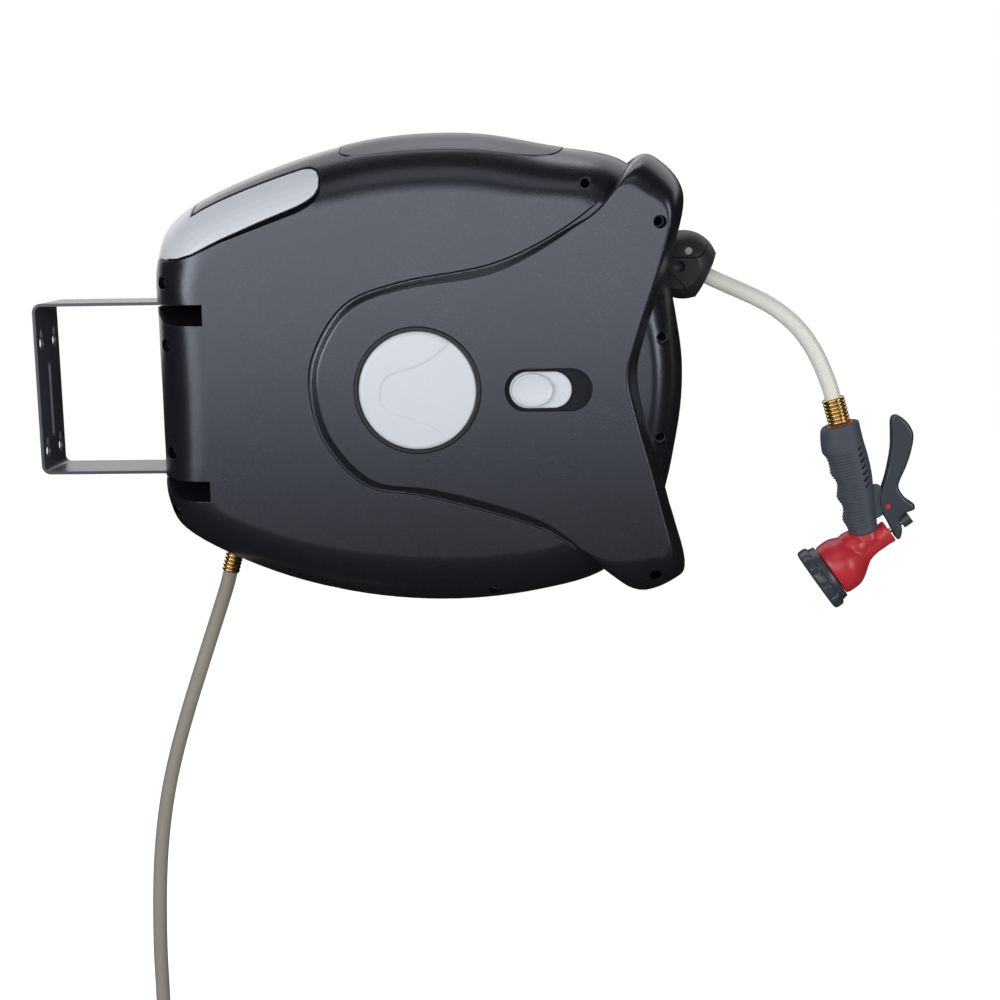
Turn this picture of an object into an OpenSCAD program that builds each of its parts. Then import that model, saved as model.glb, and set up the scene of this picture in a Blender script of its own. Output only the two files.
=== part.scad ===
// Wall-mounted retractable garden hose reel on a swivel bracket, with spray gun and inlet hose.
// Frame: +X out of the wall, +Z up, -Y the side with the lock. Origin: centre of the four screw holes, on the wall.

/* [Wall bracket] */
// Distance between the left and right screw holes
screw_pitch_y = 42; // [38:1:46]
// Distance between the upper and lower screw holes
screw_pitch_z = 108; // [100:1:120]
// Radius of the round end of a keyhole
keyhole_r = 6.3; // [5:0.1:7]
// Radius of the narrow end of a keyhole
keyhole_neck_r = 3.25; // [2.5:0.25:4]
// Height of the narrow end above the round end
keyhole_drop = 12; // [10:1:16]
// Width of the bracket strip
bracket_w = 72; // [66:1:78]
// Thickness of the bracket strip
bracket_t = 3; // [2.5:0.5:4]
// Height of the bracket over both arms
bracket_h = 170; // [164:1:176]
// Height of the bracket's middle above the middle of the screw holes
bracket_mid_z = 9; // [4:1:12]
// Radius of the outside of the bends
bend_r = 9; // [6:1:12]
// Height of the long middle slot
long_slot_h = 68; // [50:1:80]
// Half width of the long middle slot
long_slot_r = 4; // [3:0.5:6]

/* [Swivel] */
// Distance from the wall to the swivel axis
pivot_x = 147; // [144:1:152]
// Radius of a swivel pin
pivot_r = 6; // [5:0.5:7]
// Radius of the bush round a swivel pin
pivot_bush_r = 9; // [8:0.5:11]
// Radius of the bush's flange
bush_flange_r = 14; // [12:1:17]
// Thickness of the bush's flange
bush_flange_t = 0.9; // [0.6:0.1:1.5]
// Length of each swivel pin
pivot_len = 38; // [34:1:40]
// Height of the slot for an arm
arm_slot_h = 19.5; // [16:0.5:21]

/* [Casing] */
// Distance from the drum axis to the rear of the casing
casing_rear = 257; // [254:1:262]
// Distance from the drum axis to the front of the casing
casing_front = 251; // [246:1:256]
// Distance from the drum axis to the top of the casing
casing_top = 237; // [232:1:242]
// Distance from the drum axis to the underside of the casing
casing_bottom = 216; // [213:1:222]
// Half width of the casing
casing_half = 115; // [112:1:120]
// Thickness of the casing's wall
wall = 3; // [2.5:0.5:4]
// How far the shoulder reaches in from the outline
shoulder_in = 55; // [45:1:60]
// How far the shoulder reaches back from the side face
shoulder_back = 80; // [70:1:86]
// Share of the shoulder's width that is left round the nose
nose_share = 0.6; // [0.5:0.05:0.8]
// How far the nose steps back beside the front cheek
nose_step = 23; // [18:1:25]
// How far the front cheek stands out past the side face
cheek_proud = 2; // [1:0.5:4]
// Depth of the front cheek
cheek_depth = 58; // [50:1:64]
// How far the wall round the front cheek leans in
cheek_round = 14; // [8:1:16]
// Depth of that leaning wall
cheek_lean = 42; // [30:1:44]
// Radius of a screw well
well_r = 6; // [5:0.5:6.5]
// Depth of the screw heads from the middle of the casing
well_floor = 60; // [50:1:64]
// Radius of a casing screw
screw_r = 2; // [1.5:0.25:2.5]
// Radius of a casing screw's head
screw_head_r = 4.5; // [3.5:0.25:5]

/* [Hub cap] */
// Radius of the hub cap
cap_r = 55.5; // [50:0.5:60]
// Width of the black ring round the hub cap
ring_w = 4.2; // [3:0.2:6]
// Thickness of the hub cap
cap_t = 4; // [3:0.5:5]

/* [Drum] */
// Distance from the wall to the drum axis
drum_x = 386; // [385:1:392]
// Height of the drum axis above the screw holes' middle
drum_z = 13; // [10:1:15]
// Outside radius of the drum's core
core_r = 124; // [118:1:127]
// Radius of the drum's side plates
flange_r = 192; // [188:1:196]
// Thickness of a drum side plate
flange_t = 3; // [2.5:0.5:4]
// Width of the drum between its side plates
drum_w = 156; // [153:1:158]
// Radius of the drum's axle
axle_r = 9; // [8:0.5:11]
// Radius of the ratchet wheel to its tooth tips
ratchet_r = 78; // [74:1:80]
// Depth of a ratchet tooth
tooth_h = 7; // [5:0.5:9]
// Number of ratchet teeth
teeth = 18; // [12:1:24]
// Turns of the mainspring
spring_turns = 7; // [5:1:9]
// Width of the mainspring's strip
spring_w = 32; // [26:1:36]

/* [Hose] */
// Outside diameter of the hose on the drum
hose_d = 16; // [15.4:0.1:16.2]
// Turns in the outer layer
hose_turns = 8; // [6:1:8]
// Outside diameter of the inlet hose
inlet_d = 15; // [14:0.5:15.5]
// Turns in the stored inlet hose
coil_turns = 3; // [2:1:4]
// Diameter of the stored inlet hose at the middle of its turns
coil_d = 165; // [155:1:178]

/* [Hose stop] */
// Radius of the hose stop ball
ball_r = 33.5; // [32:0.5:34]
// Radius of the flat nose of the hose stop
nose_r = 19; // [16:0.5:21]
// Distance from the ball's middle to its nose
nose_x = 25; // [23:0.5:27]

/* [Lock] */
// Length of the lock's recess
recess_l = 82; // [78:1:86]
// Height of the lock's recess
recess_h = 40; // [38:1:44]
// Length of the lock slider
slider_l = 58; // [56:1:60]
// Height of the lock slider
slider_h = 34; // [32:1:36]
// Travel of the lock slider
slider_travel = 19; // [15:1:19]
// Depth of the lock's recess
recess_d = 5; // [4:0.5:7]

/* [Carrying handle] */
// Depth of the handle's arms below the casing's side
handle_arm = 29; // [27:1:33]
// Thickness of the handle's bar where it meets the arms
handle_t = 3; // [2:0.5:5]
// Radius of a handle pin
handle_pin_r = 3.5; // [3:0.25:4.5]
// Radius of the handle's ends about their pins
handle_end_r = 18; // [16:0.5:18.5]

/* [Guide rollers] */
// Radius of a guide roller
roller_r = 6; // [5:0.25:6.25]
// Length of a guide roller
roller_l = 36; // [32:1:40]
// Radius of a roller pin
roller_pin_r = 2; // [1.5:0.25:2.5]
// Gap between the hose and a guide roller
roller_gap = 2; // [1:0.5:3]

/* [Spray gun] */
// Length of the grip
grip_l = 112; // [106:1:118]
// Radius of the grip's collar
collar_r = 18.5; // [17:0.5:20]
// How far the grip swells past its collar on the hose side
grip_bulge = 5.1; // [4:0.1:5.5]
// Height of the grip's finger waves
grip_wave = 1.7; // [1:0.1:2]
// Radius of the spray dial
dial_r = 34; // [31:0.5:36]
// Thickness of the spray dial
dial_t = 19; // [16:0.5:20]
// Radius of the gun's bulb
bulb_r = 28; // [26:0.5:30]
// Radius of the gun's rear barrel
barrel_r = 11.5; // [10:0.5:12.5]
// Thickness of the trigger
trigger_w = 17; // [15:0.5:20]
// Radius of the trigger pin
trigger_pin_r = 2.6; // [2:0.2:3]
// Radius of the flow knob
knob_r = 6.5; // [5.5:0.5:7.5]

/* [Tap connector] */
// Radius of the connector's thread for the tap
tap_r = 12.1; // [11.5:0.1:13.2]
// Length of that thread
tap_l = 14; // [11:0.5:16]

/* [Hidden] */
$fn = 48;

// Clearances
run_gap = 0.05;      // shaft in a running hole
slide_gap = 0.3;     // faces that pass each other
seam_gap = 1.2;      // shut line round a loose cover
eps = 1;             // overshoot of a cut
far_out = 400;       // reach of a cut that leaves the casing

// Places that follow from the sizes
pivot_rel = pivot_x - drum_x;
arm_top_z = bracket_mid_z + bracket_h / 2;
arm_low_z = bracket_mid_z - bracket_h / 2 + bracket_t;
slot_head = bush_flange_t + slide_gap;
slot_deep_x = pivot_x + bracket_w / 2 + 3;
face_y = casing_half + cheek_proud;
ridge_half = casing_half - handle_arm;         // half width of the ridge between the handle's arms
nose_shelf = 30;                               // how far the nose's flat side runs in under the cheek
nose_rise = 14;                                // width of the slope from there to the side face
wave_l = 24;                                   // length of a finger wave, as wide as a finger
wave_top = 24;                                 // first crest below the grip's top
ridge_in = shoulder_in * (1 - cos(asin(1 - handle_arm / shoulder_back)));   // shoulder's inset at the ridge
bar_t = handle_t + ridge_in;                   // handle's bar below the casing's outline
pack_r = core_r + 2 * hose_d;                  // outside of the inner layers
layer_r = pack_r + hose_d / 2 + 0.6;           // centreline of the outer layer
leader_r = layer_r + hose_d + 1;               // the leader lies on the outer layer
plate_y = drum_w / 2 + flange_t;               // outer face of a drum side plate

// ---------- general shapes ----------

// A closed smooth curve through the points p, n steps for each point
function smooth(p, n) = let (c = len(p)) [for (i = [0:c - 1], k = [0:n - 1])
    let (a = p[(i + c - 1) % c], b = p[i], d = p[(i + 1) % c], e = p[(i + 2) % c], t = k / n)
    0.5 * (2 * b + t * (d - a) + t * t * (2 * a - 5 * b + 4 * d - e)
        + t * t * t * (3 * b - a - 3 * d + e))];

function unit(v) = v / norm(v);
function ramp(a, b, x) = let (t = max(0, min(1, (x - a) / (b - a)))) t * t * (3 - 2 * t);

// A solid through closed rings of equal length; quads where they are flat, end faces round a middle point
function flat(a, b, c, d) = abs(cross(b - a, c - a) * (d - a)) < 0.0001;
function mean(p) = [for (k = [0:2]) [for (q = p) q[k]] * [for (q = p) 1 / len(p)]];
function ring_axis(r) = let (n = len(r), c = mean(r)) mean([for (i = [0:n - 1])
    cross(r[i] - c, r[(i + 1) % n] - c)]);
function backward(f) = [for (i = [len(f) - 1:-1:0]) f[i]];
module loft(rings, mids = []) {
    n = len(rings[0]);
    m = len(rings);
    ends = len(mids) == 2 ? mids : [mean(rings[0]), mean(rings[m - 1])];
    p = concat([for (r = rings, q = r) q], ends);
    side = [for (j = [0:m - 2], i = [0:n - 1])
        let (a = j * n + i, b = j * n + (i + 1) % n)
        each flat(p[a], p[b], p[b + n], p[a + n]) ? [[a, b, b + n, a + n]] : [[a, b, b + n], [a, b + n, a + n]]];
    faces = concat(side, [for (i = [0:n - 1]) [n * m, (i + 1) % n, i]],
        [for (i = [0:n - 1]) [n * m + 1, (m - 1) * n + i, (m - 1) * n + (i + 1) % n]]);
    ahead = ring_axis(rings[0]) * (mean(rings[1]) - mean(rings[0])) > 0;
    polyhedron(p, ahead ? [for (f = faces) backward(f)] : faces, 4);
}

// Round rings of radius r across the path p; ref is a direction that the path never follows
function path_rings(p, r, sides, ref) = let (c = len(p)) [for (i = [0:c - 1])
    let (t = unit(p[min(i + 1, c - 1)] - p[max(i - 1, 0)]), s = unit(cross(t, ref)), u = cross(s, t))
    [for (k = [0:sides - 1]) let (a = 360 * (k + 0.5) / sides)
        p[i] + r * (cos(a) * s + sin(a) * u)]];

module tube(p, r, sides, ref) loft(path_rings(p, r, sides, ref));

// Extrudes an outline drawn in X and Z from y0 to y1
module slab(y0, y1) translate([0, y1, 0]) rotate([90, 0, 0]) linear_extrude(y1 - y0) children();

// A cylinder along +Y
module rod(r, y0, y1) translate([0, y0, 0]) rotate([-90, 0, 0]) cylinder(r = r, h = y1 - y0);

module at_drum() translate([drum_x, 0, drum_z]) children();

// ---------- casing form, about the drum axis ----------

function scaled(p) = [p[0] * (p[0] < 0 ? casing_rear / 257 : casing_front / 251),
    p[1] * (p[1] < 0 ? casing_bottom / 216 : casing_top / 237)];

OUTLINE_KNOTS = [[-257, -60], [-255, -112], [-232, -147], [-150, -187], [-60, -210], [30, -216],
    [115, -206], [180, -184], [226, -130], [246, -50], [251, 10], [245, 62], [233, 122], [218, 180],
    [190, 211], [125, 224], [45, 237], [-50, 232], [-150, 204], [-230, 166], [-255, 122], [-257, 60],
    [-257, 0]];
OUTLINE = smooth([for (k = OUTLINE_KNOTS) scaled(k)], 2);

// 1 round the nose, where the cheek has its waist, and 0 over the crown and the keel
function nose(p) = ramp(0.8, 0.88, p[0] / norm(p));

// One ring of the casing's side at the angle a of its shoulder, drawn in by shelf round the nose;
// step is 0 where the nose is as high as the side face
function side_ring(a, skin, every, shelf = 0, step = nose_step) = [for (i = [0:every:len(OUTLINE) - 1])
    let (p = OUTLINE[i], k = nose(p), shoulder = shoulder_in * (1 - (1 - nose_share) * k),
        q = p * (1 - (shoulder * (1 - cos(a)) + skin + shelf * (0.1 + k)) / norm(p)))
    [q[0], -(casing_half - shoulder_back + (shoulder_back - skin - step * k) * sin(a)), q[1]]];

// Half of the casing's outer form, skin below the surface, from y = start to the side face
module half_form(skin, start = eps, every = 1, angles = [0, 30, 60, 90])
    loft(concat([[for (p = side_ring(0, skin, every)) [p[0], start, p[2]]]],
        [for (a = angles) side_ring(a, skin, every)],
        [side_ring(90, skin, every, nose_shelf), side_ring(90, skin, every, nose_shelf + nose_rise, 0)]));

// Front cheek: the raised side panel from the S line to the front edge, with how much its wall leans in
CHEEK_KNOTS = [[207, 212.5, 2.4], [175, 175, 1.2], [130, 142, 0.4], [70, 115, 0.25], [-14, 100, 0.25],
    [-66, 80, 0.25], [-96, 36, 0.25], [-101, -5, 0.25], [-88, -50, 0.25], [-50, -90, 0.25],
    [9, -101, 0.25], [103, -128, 0.3], [146, -152, 0.6], [178, -184, 2], [209, -204, 3.4],
    [242, -193, 3], [252.5, -174, 2], [236, -113, 1.2], [217, -35, 1.1], [209, 11, 1.1], [217, 52, 1.1],
    [242, 130, 1.6], [250, 178, 1.9], [231, 206, 2.6]];
CHEEK_LEANS = smooth([for (k = CHEEK_KNOTS) concat(scaled(k), [k[2]])], 2);
CHEEK = [for (p = CHEEK_LEANS) [p[0], p[1]]];
CHEEK_MID = [84, 0];
function cheek_ring(inset, y) = [for (p = CHEEK_LEANS)
    let (d = [p[0], p[1]] - CHEEK_MID, q = CHEEK_MID + d * (1 - inset * p[2] / norm(d))) [q[0], y, q[1]]];
cheek_back = casing_half - cheek_depth;
module cheek_form() loft([cheek_ring(0, -cheek_back), cheek_ring(0, -(face_y - cheek_lean)),
    cheek_ring(cheek_round * 0.4, -(face_y - cheek_lean * 0.38)),
    cheek_ring(cheek_round * 0.72, -(face_y - cheek_lean * 0.1)), cheek_ring(cheek_round, -face_y)],
    [[CHEEK_MID[0], -cheek_back, CHEEK_MID[1]], [CHEEK_MID[0], -face_y, CHEEK_MID[1]]]);

// Hollow of one half: the form inside its wall, and the space inside the cheek
module half_hollow() {
    half_form(wall, every = 2, angles = [0, 45, 90]);
    slab(-(face_y - wall), -cheek_back - wall) offset(delta = -wall)
        polygon([for (p = cheek_ring(cheek_round, 0)) [p[0], p[2]]]);
}

SCREW_PLACES = [for (k = [[158, 188], [226, 152], [230, 43], [228, -53], [-241, 102], [-241, 43],
    [-240, -60], [-240, -117], [-90, -196], [68, -197], [222, -180]]) scaled(k)];

// ---------- carrying handle, about the drum axis ----------

handle_axis = [-104 * casing_rear / 257, 190 * casing_top / 237];
HANDLE_LOW = [[-262, 127], [-239, 124], [-223, 125], [-208, 129], [-181, 142], [-145, 157],
    [-109, 171]];
HANDLE_HIGH = [[-108, 206], [-144, 196], [-179, 181], [-200, 170], [-213, 163]];

// Side outline of the handle: its arms, its round ends and, past the ridge, its cross bar
module handle_outline(grow) {
    offset(delta = grow) {
        polygon([for (p = concat(HANDLE_LOW, HANDLE_HIGH, [[-213, 300], [-300, 300], [-300, 127]]))
            scaled(p)]);
    }
    translate(handle_axis) circle(handle_end_r + grow * 0.8);
}
// Space of the handle's half, grown on all sides: an arm outside the ridge and half of the cross bar
module handle_space(grow) {
    slab(-far_out, -ridge_half + grow) handle_outline(grow);
    slab(-ridge_half, eps) difference() {
        handle_outline(grow);
        offset(delta = -bar_t - grow) polygon(OUTLINE);
        translate(scaled([-213 + grow, 0])) square(far_out);
    }
}

// ---------- lock ----------

slider_rest = 4.5;                // slider's rest place from the recess's rear end
recess_x = 122.5;                 // middle of the recess from the drum axis
recess_z = -1;                    // the same, up
slider_x = recess_x - recess_l / 2 + slider_l / 2 + slider_rest;
floor_y = recess_d - face_y;      // floor of the recess
link_t = 2.5;
link_y = floor_y + wall + 0.4;    // outer face of the sliding link
pawl_pivot = [98, 46];            // pawl pin, from the drum axis
pawl_reach = 60;                  // pawl pin to the peg that the link moves
pawl_y = -plate_y - 1;            // inner face of the pawl
pawl_t = 6;
peg_r = 2.2;
pawl_pin_r = 3;
boss_end = pawl_y - pawl_t - 5;   // inner end of the pawl pin's boss

module stadium(l, h) hull() for (s = [-1, 1]) translate([s * (l - h) / 2, 0]) circle(h / 2);

// ---------- outlet ----------

outlet_z = 144;                   // middle of the outlet frame
frame_back = 572;
frame_d = 29;
cross_x = 581;                    // upper and lower rollers
upright_x = 593.8;                // left and right rollers
cross_z = 146;                    // height of the hose at the upper and lower rollers
hose_lean = 1.045;                // upright thickness of the sloping hose, as a share of its diameter
roller_off = hose_d / 2 + roller_gap + roller_r;
cross_off = hose_d * hose_lean / 2 + roller_gap + roller_r;
frame_in = cross_off + roller_r + cross_z - outlet_z + 1;
frame_out = frame_in + wall;
mouth_z = 122;                    // middle of the round mouth in front of the frame
mouth_r = ball_r + 0.5;

// ---------- hoses ----------

// Leader hose, from the drum through the rollers to the gun's coupling
LEADER = [[436, 0, 187.5], [470, 0, 177.8], [505, 0, 167.8], [540, 0, 157.8], [570, 0, 149.2],
    [588, 0, 144.1], [598, 0, 141], [607, 0, 137.2], [616, 0, 132.8], [628, 0, 127], [640, 0, 121.2],
    [652, 0, 115.4], [663, 0, 110.1], [675, 0, 104.4], [687, 0, 99], [699, 0, 93.6], [711, 0, 88],
    [721, 0, 82.6], [731, 0, 76.4], [740, 0, 69.6], [748.5, 0, 62], [756, 0, 53.8], [762.7, 0, 45],
    [768.6, 0, 35.6], [773.8, 0, 25.8], [778.4, 0, 15.8], [782.4, 0, 5.8], [785.5, 0, -2.4],
    [788.4, 0, -12.6]];
ball_at = [640, 0, 121.2];
ball_tilt = 25.8;                 // fall of the hose through the stop
coupling_tilt = 15.7;
coupling_l = 27;

// Inlet hose, from its coupling under the casing to the stored turns
INLET = [[171.4, 30, -190.5], [166.7, 30, -206.8], [156.8, 30, -235], [146, 30, -265],
    [134.6, 30, -297], [123, 30, -330], [112.4, 30, -362], [103, 30, -393], [95, 30, -424],
    [88.6, 30, -455], [83.6, 30, -487], [80, 30, -519], [77.6, 30, -551], [76, 30, -584],
    [75, 30, -617], [75, 30, -652], [75, 30, -688], [75, 30, -724], [75, 30, -757], [75, 30, -790]];
inlet_tilt = 16;
inlet_at = [171.4, 30, -190.5];   // lower end of the inlet's coupling
inlet_ferrule_l = 24;
inlet_gland_l = 36;
gland_r = 12;
swivel_r = 16;                    // swivel body
swivel_y0 = plate_y + 3;
INLET_DIR = [sin(inlet_tilt), 0, cos(inlet_tilt)];

// Rigid pipe from the inlet's gland round the drum's far side plate to the swivel
pipe_gap = 5.5;
pipe_r = 6.5;
pipe_y = casing_half - wall - pipe_gap - pipe_r;   // plane of the pipe beside the drum
pipe_bend = 50;
pipe_shift = pipe_y - inlet_at[1];
pipe_swing = acos(1 - pipe_shift / 2 / pipe_bend);
pipe_run = 2 * pipe_bend * sin(pipe_swing);
pipe_start = inlet_at + (inlet_ferrule_l + inlet_gland_l) * INLET_DIR;
function pipe_arc(a) = pipe_bend * sin(a) * INLET_DIR + [0, pipe_bend * (1 - cos(a)), 0];
pipe_foot = pipe_start + 4 * INLET_DIR;
pipe_head = pipe_foot + pipe_run * INLET_DIR + [0, pipe_shift, 0];
turn_from = 90 - inlet_tilt;
turn_r = (drum_z - pipe_head[2]) / (1 - cos(turn_from));
PIPE = concat([pipe_start], [for (i = [0:6]) pipe_foot + pipe_arc(pipe_swing * i / 6)],
    [for (i = [5:-1:0]) pipe_head - pipe_arc(pipe_swing * i / 6)],
    [for (i = [5:-1:0]) let (a = turn_from * i / 6) [pipe_head[0] + turn_r * (sin(turn_from) - sin(a)),
        pipe_y, drum_z - turn_r * (1 - cos(a))]], [[drum_x - swivel_r - 2, pipe_y, drum_z]]);

// Stored turns of the inlet hose: side by side, the last half turn moved out for the connector
coil_mid = [75 + coil_d / 2, 30, -790 - inlet_d];
coil_pitch = inlet_d + 0.6;
coil_out = 12;
function coil_y(t) = coil_mid[1] + coil_pitch * t + coil_out * ramp(coil_turns - 0.5, coil_turns, t);
function coil_point(t) = [coil_mid[0] - coil_d / 2 * cos(360 * t), coil_y(t),
    coil_mid[2] - coil_d / 2 * sin(360 * t)];
RINGS = 24;
COIL = concat([coil_point(0) + [0, 0, inlet_d]], [for (i = [0:RINGS * coil_turns])
    coil_point(i / RINGS)], [coil_point(coil_turns) - [0, 0, inlet_d]]);

// Outer layer on the drum
layer_pitch = (drum_w - hose_d - 1) / hose_turns;
LAYER = [for (i = [0:RINGS * hose_turns]) let (t = i / RINGS)
    [layer_r * cos(360 * t), -(drum_w - hose_d - 1) / 2 + layer_pitch * t, layer_r * sin(360 * t)]];

// Least gap of a wound tube to itself, measured between points more than half a turn apart
function self_gap(p, d) = min([for (i = [0:len(p) - 1], j = [0:len(p) - 1])
    if (j > i + RINGS / 2) norm(p[i] - p[j]) - d]);
echo(inlet_coil_gap = self_gap(COIL, inlet_d), outer_layer_gap = self_gap(LAYER, hose_d));

// ---------- spray gun ----------

grip_top = [796, 0, -38.5];
grip_tilt = 13.5;
nozzle_at = [774.5, 0, -199];     // middle of the dial's face
nozzle_rise = 35.5;
barrel_l = 89;                    // dial's face to the rear of the barrel
trigger_at = [843.7, -121];
knob_s = 103.4;
knob_l = 10;
stem_r = 2.5;
TRIGGER = [[846, -34], [851, -30], [858.5, -34], [865, -42], [868, -51], [866, -66], [861.4, -81.5],
    [855.2, -96.5], [855, -104], [861.3, -113], [869.8, -119], [870.5, -125], [861.4, -129],
    [856.6, -136], [859, -144], [858, -153], [854.6, -155.4], [851.6, -151.6], [846.5, -141],
    [839.5, -128], [836.3, -112], [842, -89], [846, -64.5], [846, -48]];
lug_half = 5;

module at_grip() translate(grip_top) rotate([0, -grip_tilt, 0]) children();
module at_nozzle() translate(nozzle_at) rotate([0, 90 - nozzle_rise, 0]) children();
module at_ball() translate(ball_at) rotate([0, 90 + ball_tilt, 0]) children();
module at_inlet() translate(inlet_at) rotate([0, inlet_tilt, 0]) children();

// ---------- bracket and swivel ----------

module keyhole(r, neck, drop) {
    rotate([0, 90, 0]) translate([0, 0, -eps]) cylinder(r = r, h = bracket_t + 2 * eps);
    translate([-eps, -neck, 0]) cube([bracket_t + 2 * eps, 2 * neck, drop]);
    translate([-eps, 0, drop]) rotate([0, 90, 0]) cylinder(r = neck, h = bracket_t + 2 * eps);
}

module strip_outline(inset) {
    r = bend_r - inset;
    reach = pivot_x + 60;
    translate([inset, bracket_mid_z - bracket_h / 2 + inset])
        union() {
            translate([r, 0]) square([reach - inset - r, bracket_h - 2 * inset]);
            translate([0, r]) square([r + eps, bracket_h - 2 * inset - 2 * r]);
            for (z = [r, bracket_h - 2 * inset - r]) translate([r, z]) circle(r);
        }
}

module wall_bracket() color("#3d434e") difference() {
    intersection() {
        slab(-bracket_w / 2, bracket_w / 2) difference() {
            strip_outline(0);
            strip_outline(bracket_t);
        }
        union() {
            translate([-eps, -bracket_w, -bracket_h]) cube([pivot_x + eps, 2 * bracket_w, 3 * bracket_h]);
            translate([pivot_x, 0, -bracket_h]) cylinder(r = bracket_w / 2, h = 3 * bracket_h);
        }
    }
    for (y = [-1, 1], z = [-1, 1])
        translate([0, y * screw_pitch_y / 2, z * screw_pitch_z / 2])
            keyhole(keyhole_r, keyhole_neck_r, keyhole_drop);
    translate([0, 0, bracket_mid_z - long_slot_h / 2 - 13]) {
        translate([-eps, -long_slot_r, 0]) cube([bracket_t + 2 * eps, 2 * long_slot_r, long_slot_h]);
        for (z = [0, long_slot_h]) translate([-eps, 0, z]) rotate([0, 90, 0])
            cylinder(r = long_slot_r, h = bracket_t + 2 * eps);
    }
    translate([pivot_x, 0, -bracket_h]) cylinder(r = pivot_bush_r, h = 3 * bracket_h);
}

// Both arms: children at the arm's upper face
module at_arms() for (z = [arm_low_z, arm_top_z]) translate([pivot_x, 0, z]) children();

module pivot_bushes() color("#2b2d31") at_arms() difference() {
    union() {
        cylinder(r = bush_flange_r, h = bush_flange_t);
        translate([0, 0, -bracket_t]) cylinder(r = pivot_bush_r, h = bracket_t + bush_flange_t / 2);
    }
    translate([0, 0, -bracket_t - eps]) cylinder(r = pivot_r + run_gap, h = bracket_t + 4 * eps);
}

pin_mid = slot_head - arm_slot_h / 2;
module pivot_pins() color("silver") at_arms()
    translate([0, 0, pin_mid - pivot_len / 2]) cylinder(r = pivot_r, h = pivot_len);

// ---------- casing ----------

// Solid parts inside both halves
module casing_inside() {
    at_arms() translate([-pivot_x, -far_out / 2, slot_head - arm_slot_h - wall])
        cube([slot_deep_x + wall, far_out, arm_slot_h + 2 * wall]);
    at_arms() translate([0, 0, pin_mid - pivot_len / 2 - wall])
        cylinder(r = pivot_r + 6, h = pivot_len + 2 * wall);
    at_drum() for (p = SCREW_PLACES) translate([p[0], 0, p[1]]) rod(well_r + 2.2, -face_y, 0);
    at_drum() handle_space(seam_gap + wall);
    at_drum() translate([handle_axis[0], 0, handle_axis[1]])
        rod(handle_pin_r + 3, -ridge_half - 2, -ridge_half + 14);
    translate([frame_back, -frame_out - wall, outlet_z - frame_out - wall])
        cube([80, frame_out + wall, 2 * (frame_out + wall)]);
}

// Section of the slot for an arm: high at the side, and close round the arm on the pad in the middle
pad_y = 60;
ARM_SLOT = [[-far_out, slot_head], [-far_out, slot_head - arm_slot_h], [-pad_y - 34, slot_head - arm_slot_h],
    [-pad_y, -bracket_t - slide_gap], [eps, -bracket_t - slide_gap], [eps, slot_head]];

// Cuts through both halves
module casing_cuts() {
    at_arms() translate([-pivot_x, 0, 0]) rotate([90, 0, 90]) linear_extrude(slot_deep_x) polygon(ARM_SLOT);
    pivot_pins();
    at_drum() for (p = SCREW_PLACES) translate([p[0], 0, p[1]]) {
        rod(well_r, -far_out, -well_floor);
        rod(screw_r, -well_floor - eps, eps);
    }
    at_drum() handle_space(seam_gap);
    at_drum() translate([handle_axis[0], 0, handle_axis[1]])
        rod(handle_pin_r, -ridge_half - 14, -ridge_half + 11);
    at_drum() top_recess();
    translate([frame_back, -frame_out, outlet_z - frame_out]) cube([frame_d, 2 * frame_out, 2 * frame_out]);
    translate([frame_back + frame_d - eps, 0, mouth_z]) rotate([0, 90, 0]) cylinder(r = mouth_r, h = 90);
}

module casing_half_solid() difference() {
    at_drum() union() {
        half_form(0, 0);
        cheek_form();
    }
    difference() {
        at_drum() half_hollow();
        casing_inside();
        children(0);
    }
    casing_cuts();
    children(1);
}

hub_floor = 9;                    // depth of the hub recess
hub_r = cap_r + ring_w;
module near_casing() color("#33363d") casing_half_solid() {
    at_drum() {
        rod(hub_r + wall, -face_y, -face_y + hub_floor + wall);
        rod(axle_r + 8, -face_y, -plate_y - tooth_h - 6);
        slab(-face_y, floor_y + wall) translate([recess_x, recess_z]) stadium(recess_l + 2 * wall,
            recess_h + 2 * wall);
        translate([pawl_pivot[0], 0, pawl_pivot[1]]) rod(pawl_pin_r + 4, -face_y, boss_end);
    }
    at_drum() {
        rod(hub_r, -far_out, -face_y + hub_floor);
        rod(axle_r, -far_out, 0);
        slab(-far_out, floor_y) translate([recess_x, recess_z]) stadium(recess_l, recess_h);
        slab(-far_out, 0) translate([slider_x + slider_travel / 2, recess_z])
            stadium(10 + slider_travel + 1, 10);
        translate([pawl_pivot[0], 0, pawl_pivot[1]]) rod(pawl_pin_r, -face_y + 2 * wall, 0);
    }
}

module far_casing() color("#33363d") mirror([0, 1, 0]) casing_half_solid() {
    union() {
        at_drum() rod(swivel_r + 4, -face_y, -pipe_y - 10);
        mirror([0, 1, 0]) at_inlet() translate([0, 0, inlet_ferrule_l]) cylinder(r = gland_r + 4, h = inlet_gland_l - 4);
    }
    union() {
        at_drum() rod(swivel_r, -face_y + wall, 0);
        mirror([0, 1, 0]) at_inlet() translate([0, 0, -inlet_ferrule_l])
            cylinder(r = gland_r, h = 2 * inlet_ferrule_l + inlet_gland_l);
    }
}

module casing_screws() color("#1c1d20") at_drum() for (p = SCREW_PLACES) translate([p[0], 0, p[1]]) {
    rod(screw_head_r, -well_floor - 3, -well_floor);
    rod(screw_r, -well_floor - eps, -6);
}

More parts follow.
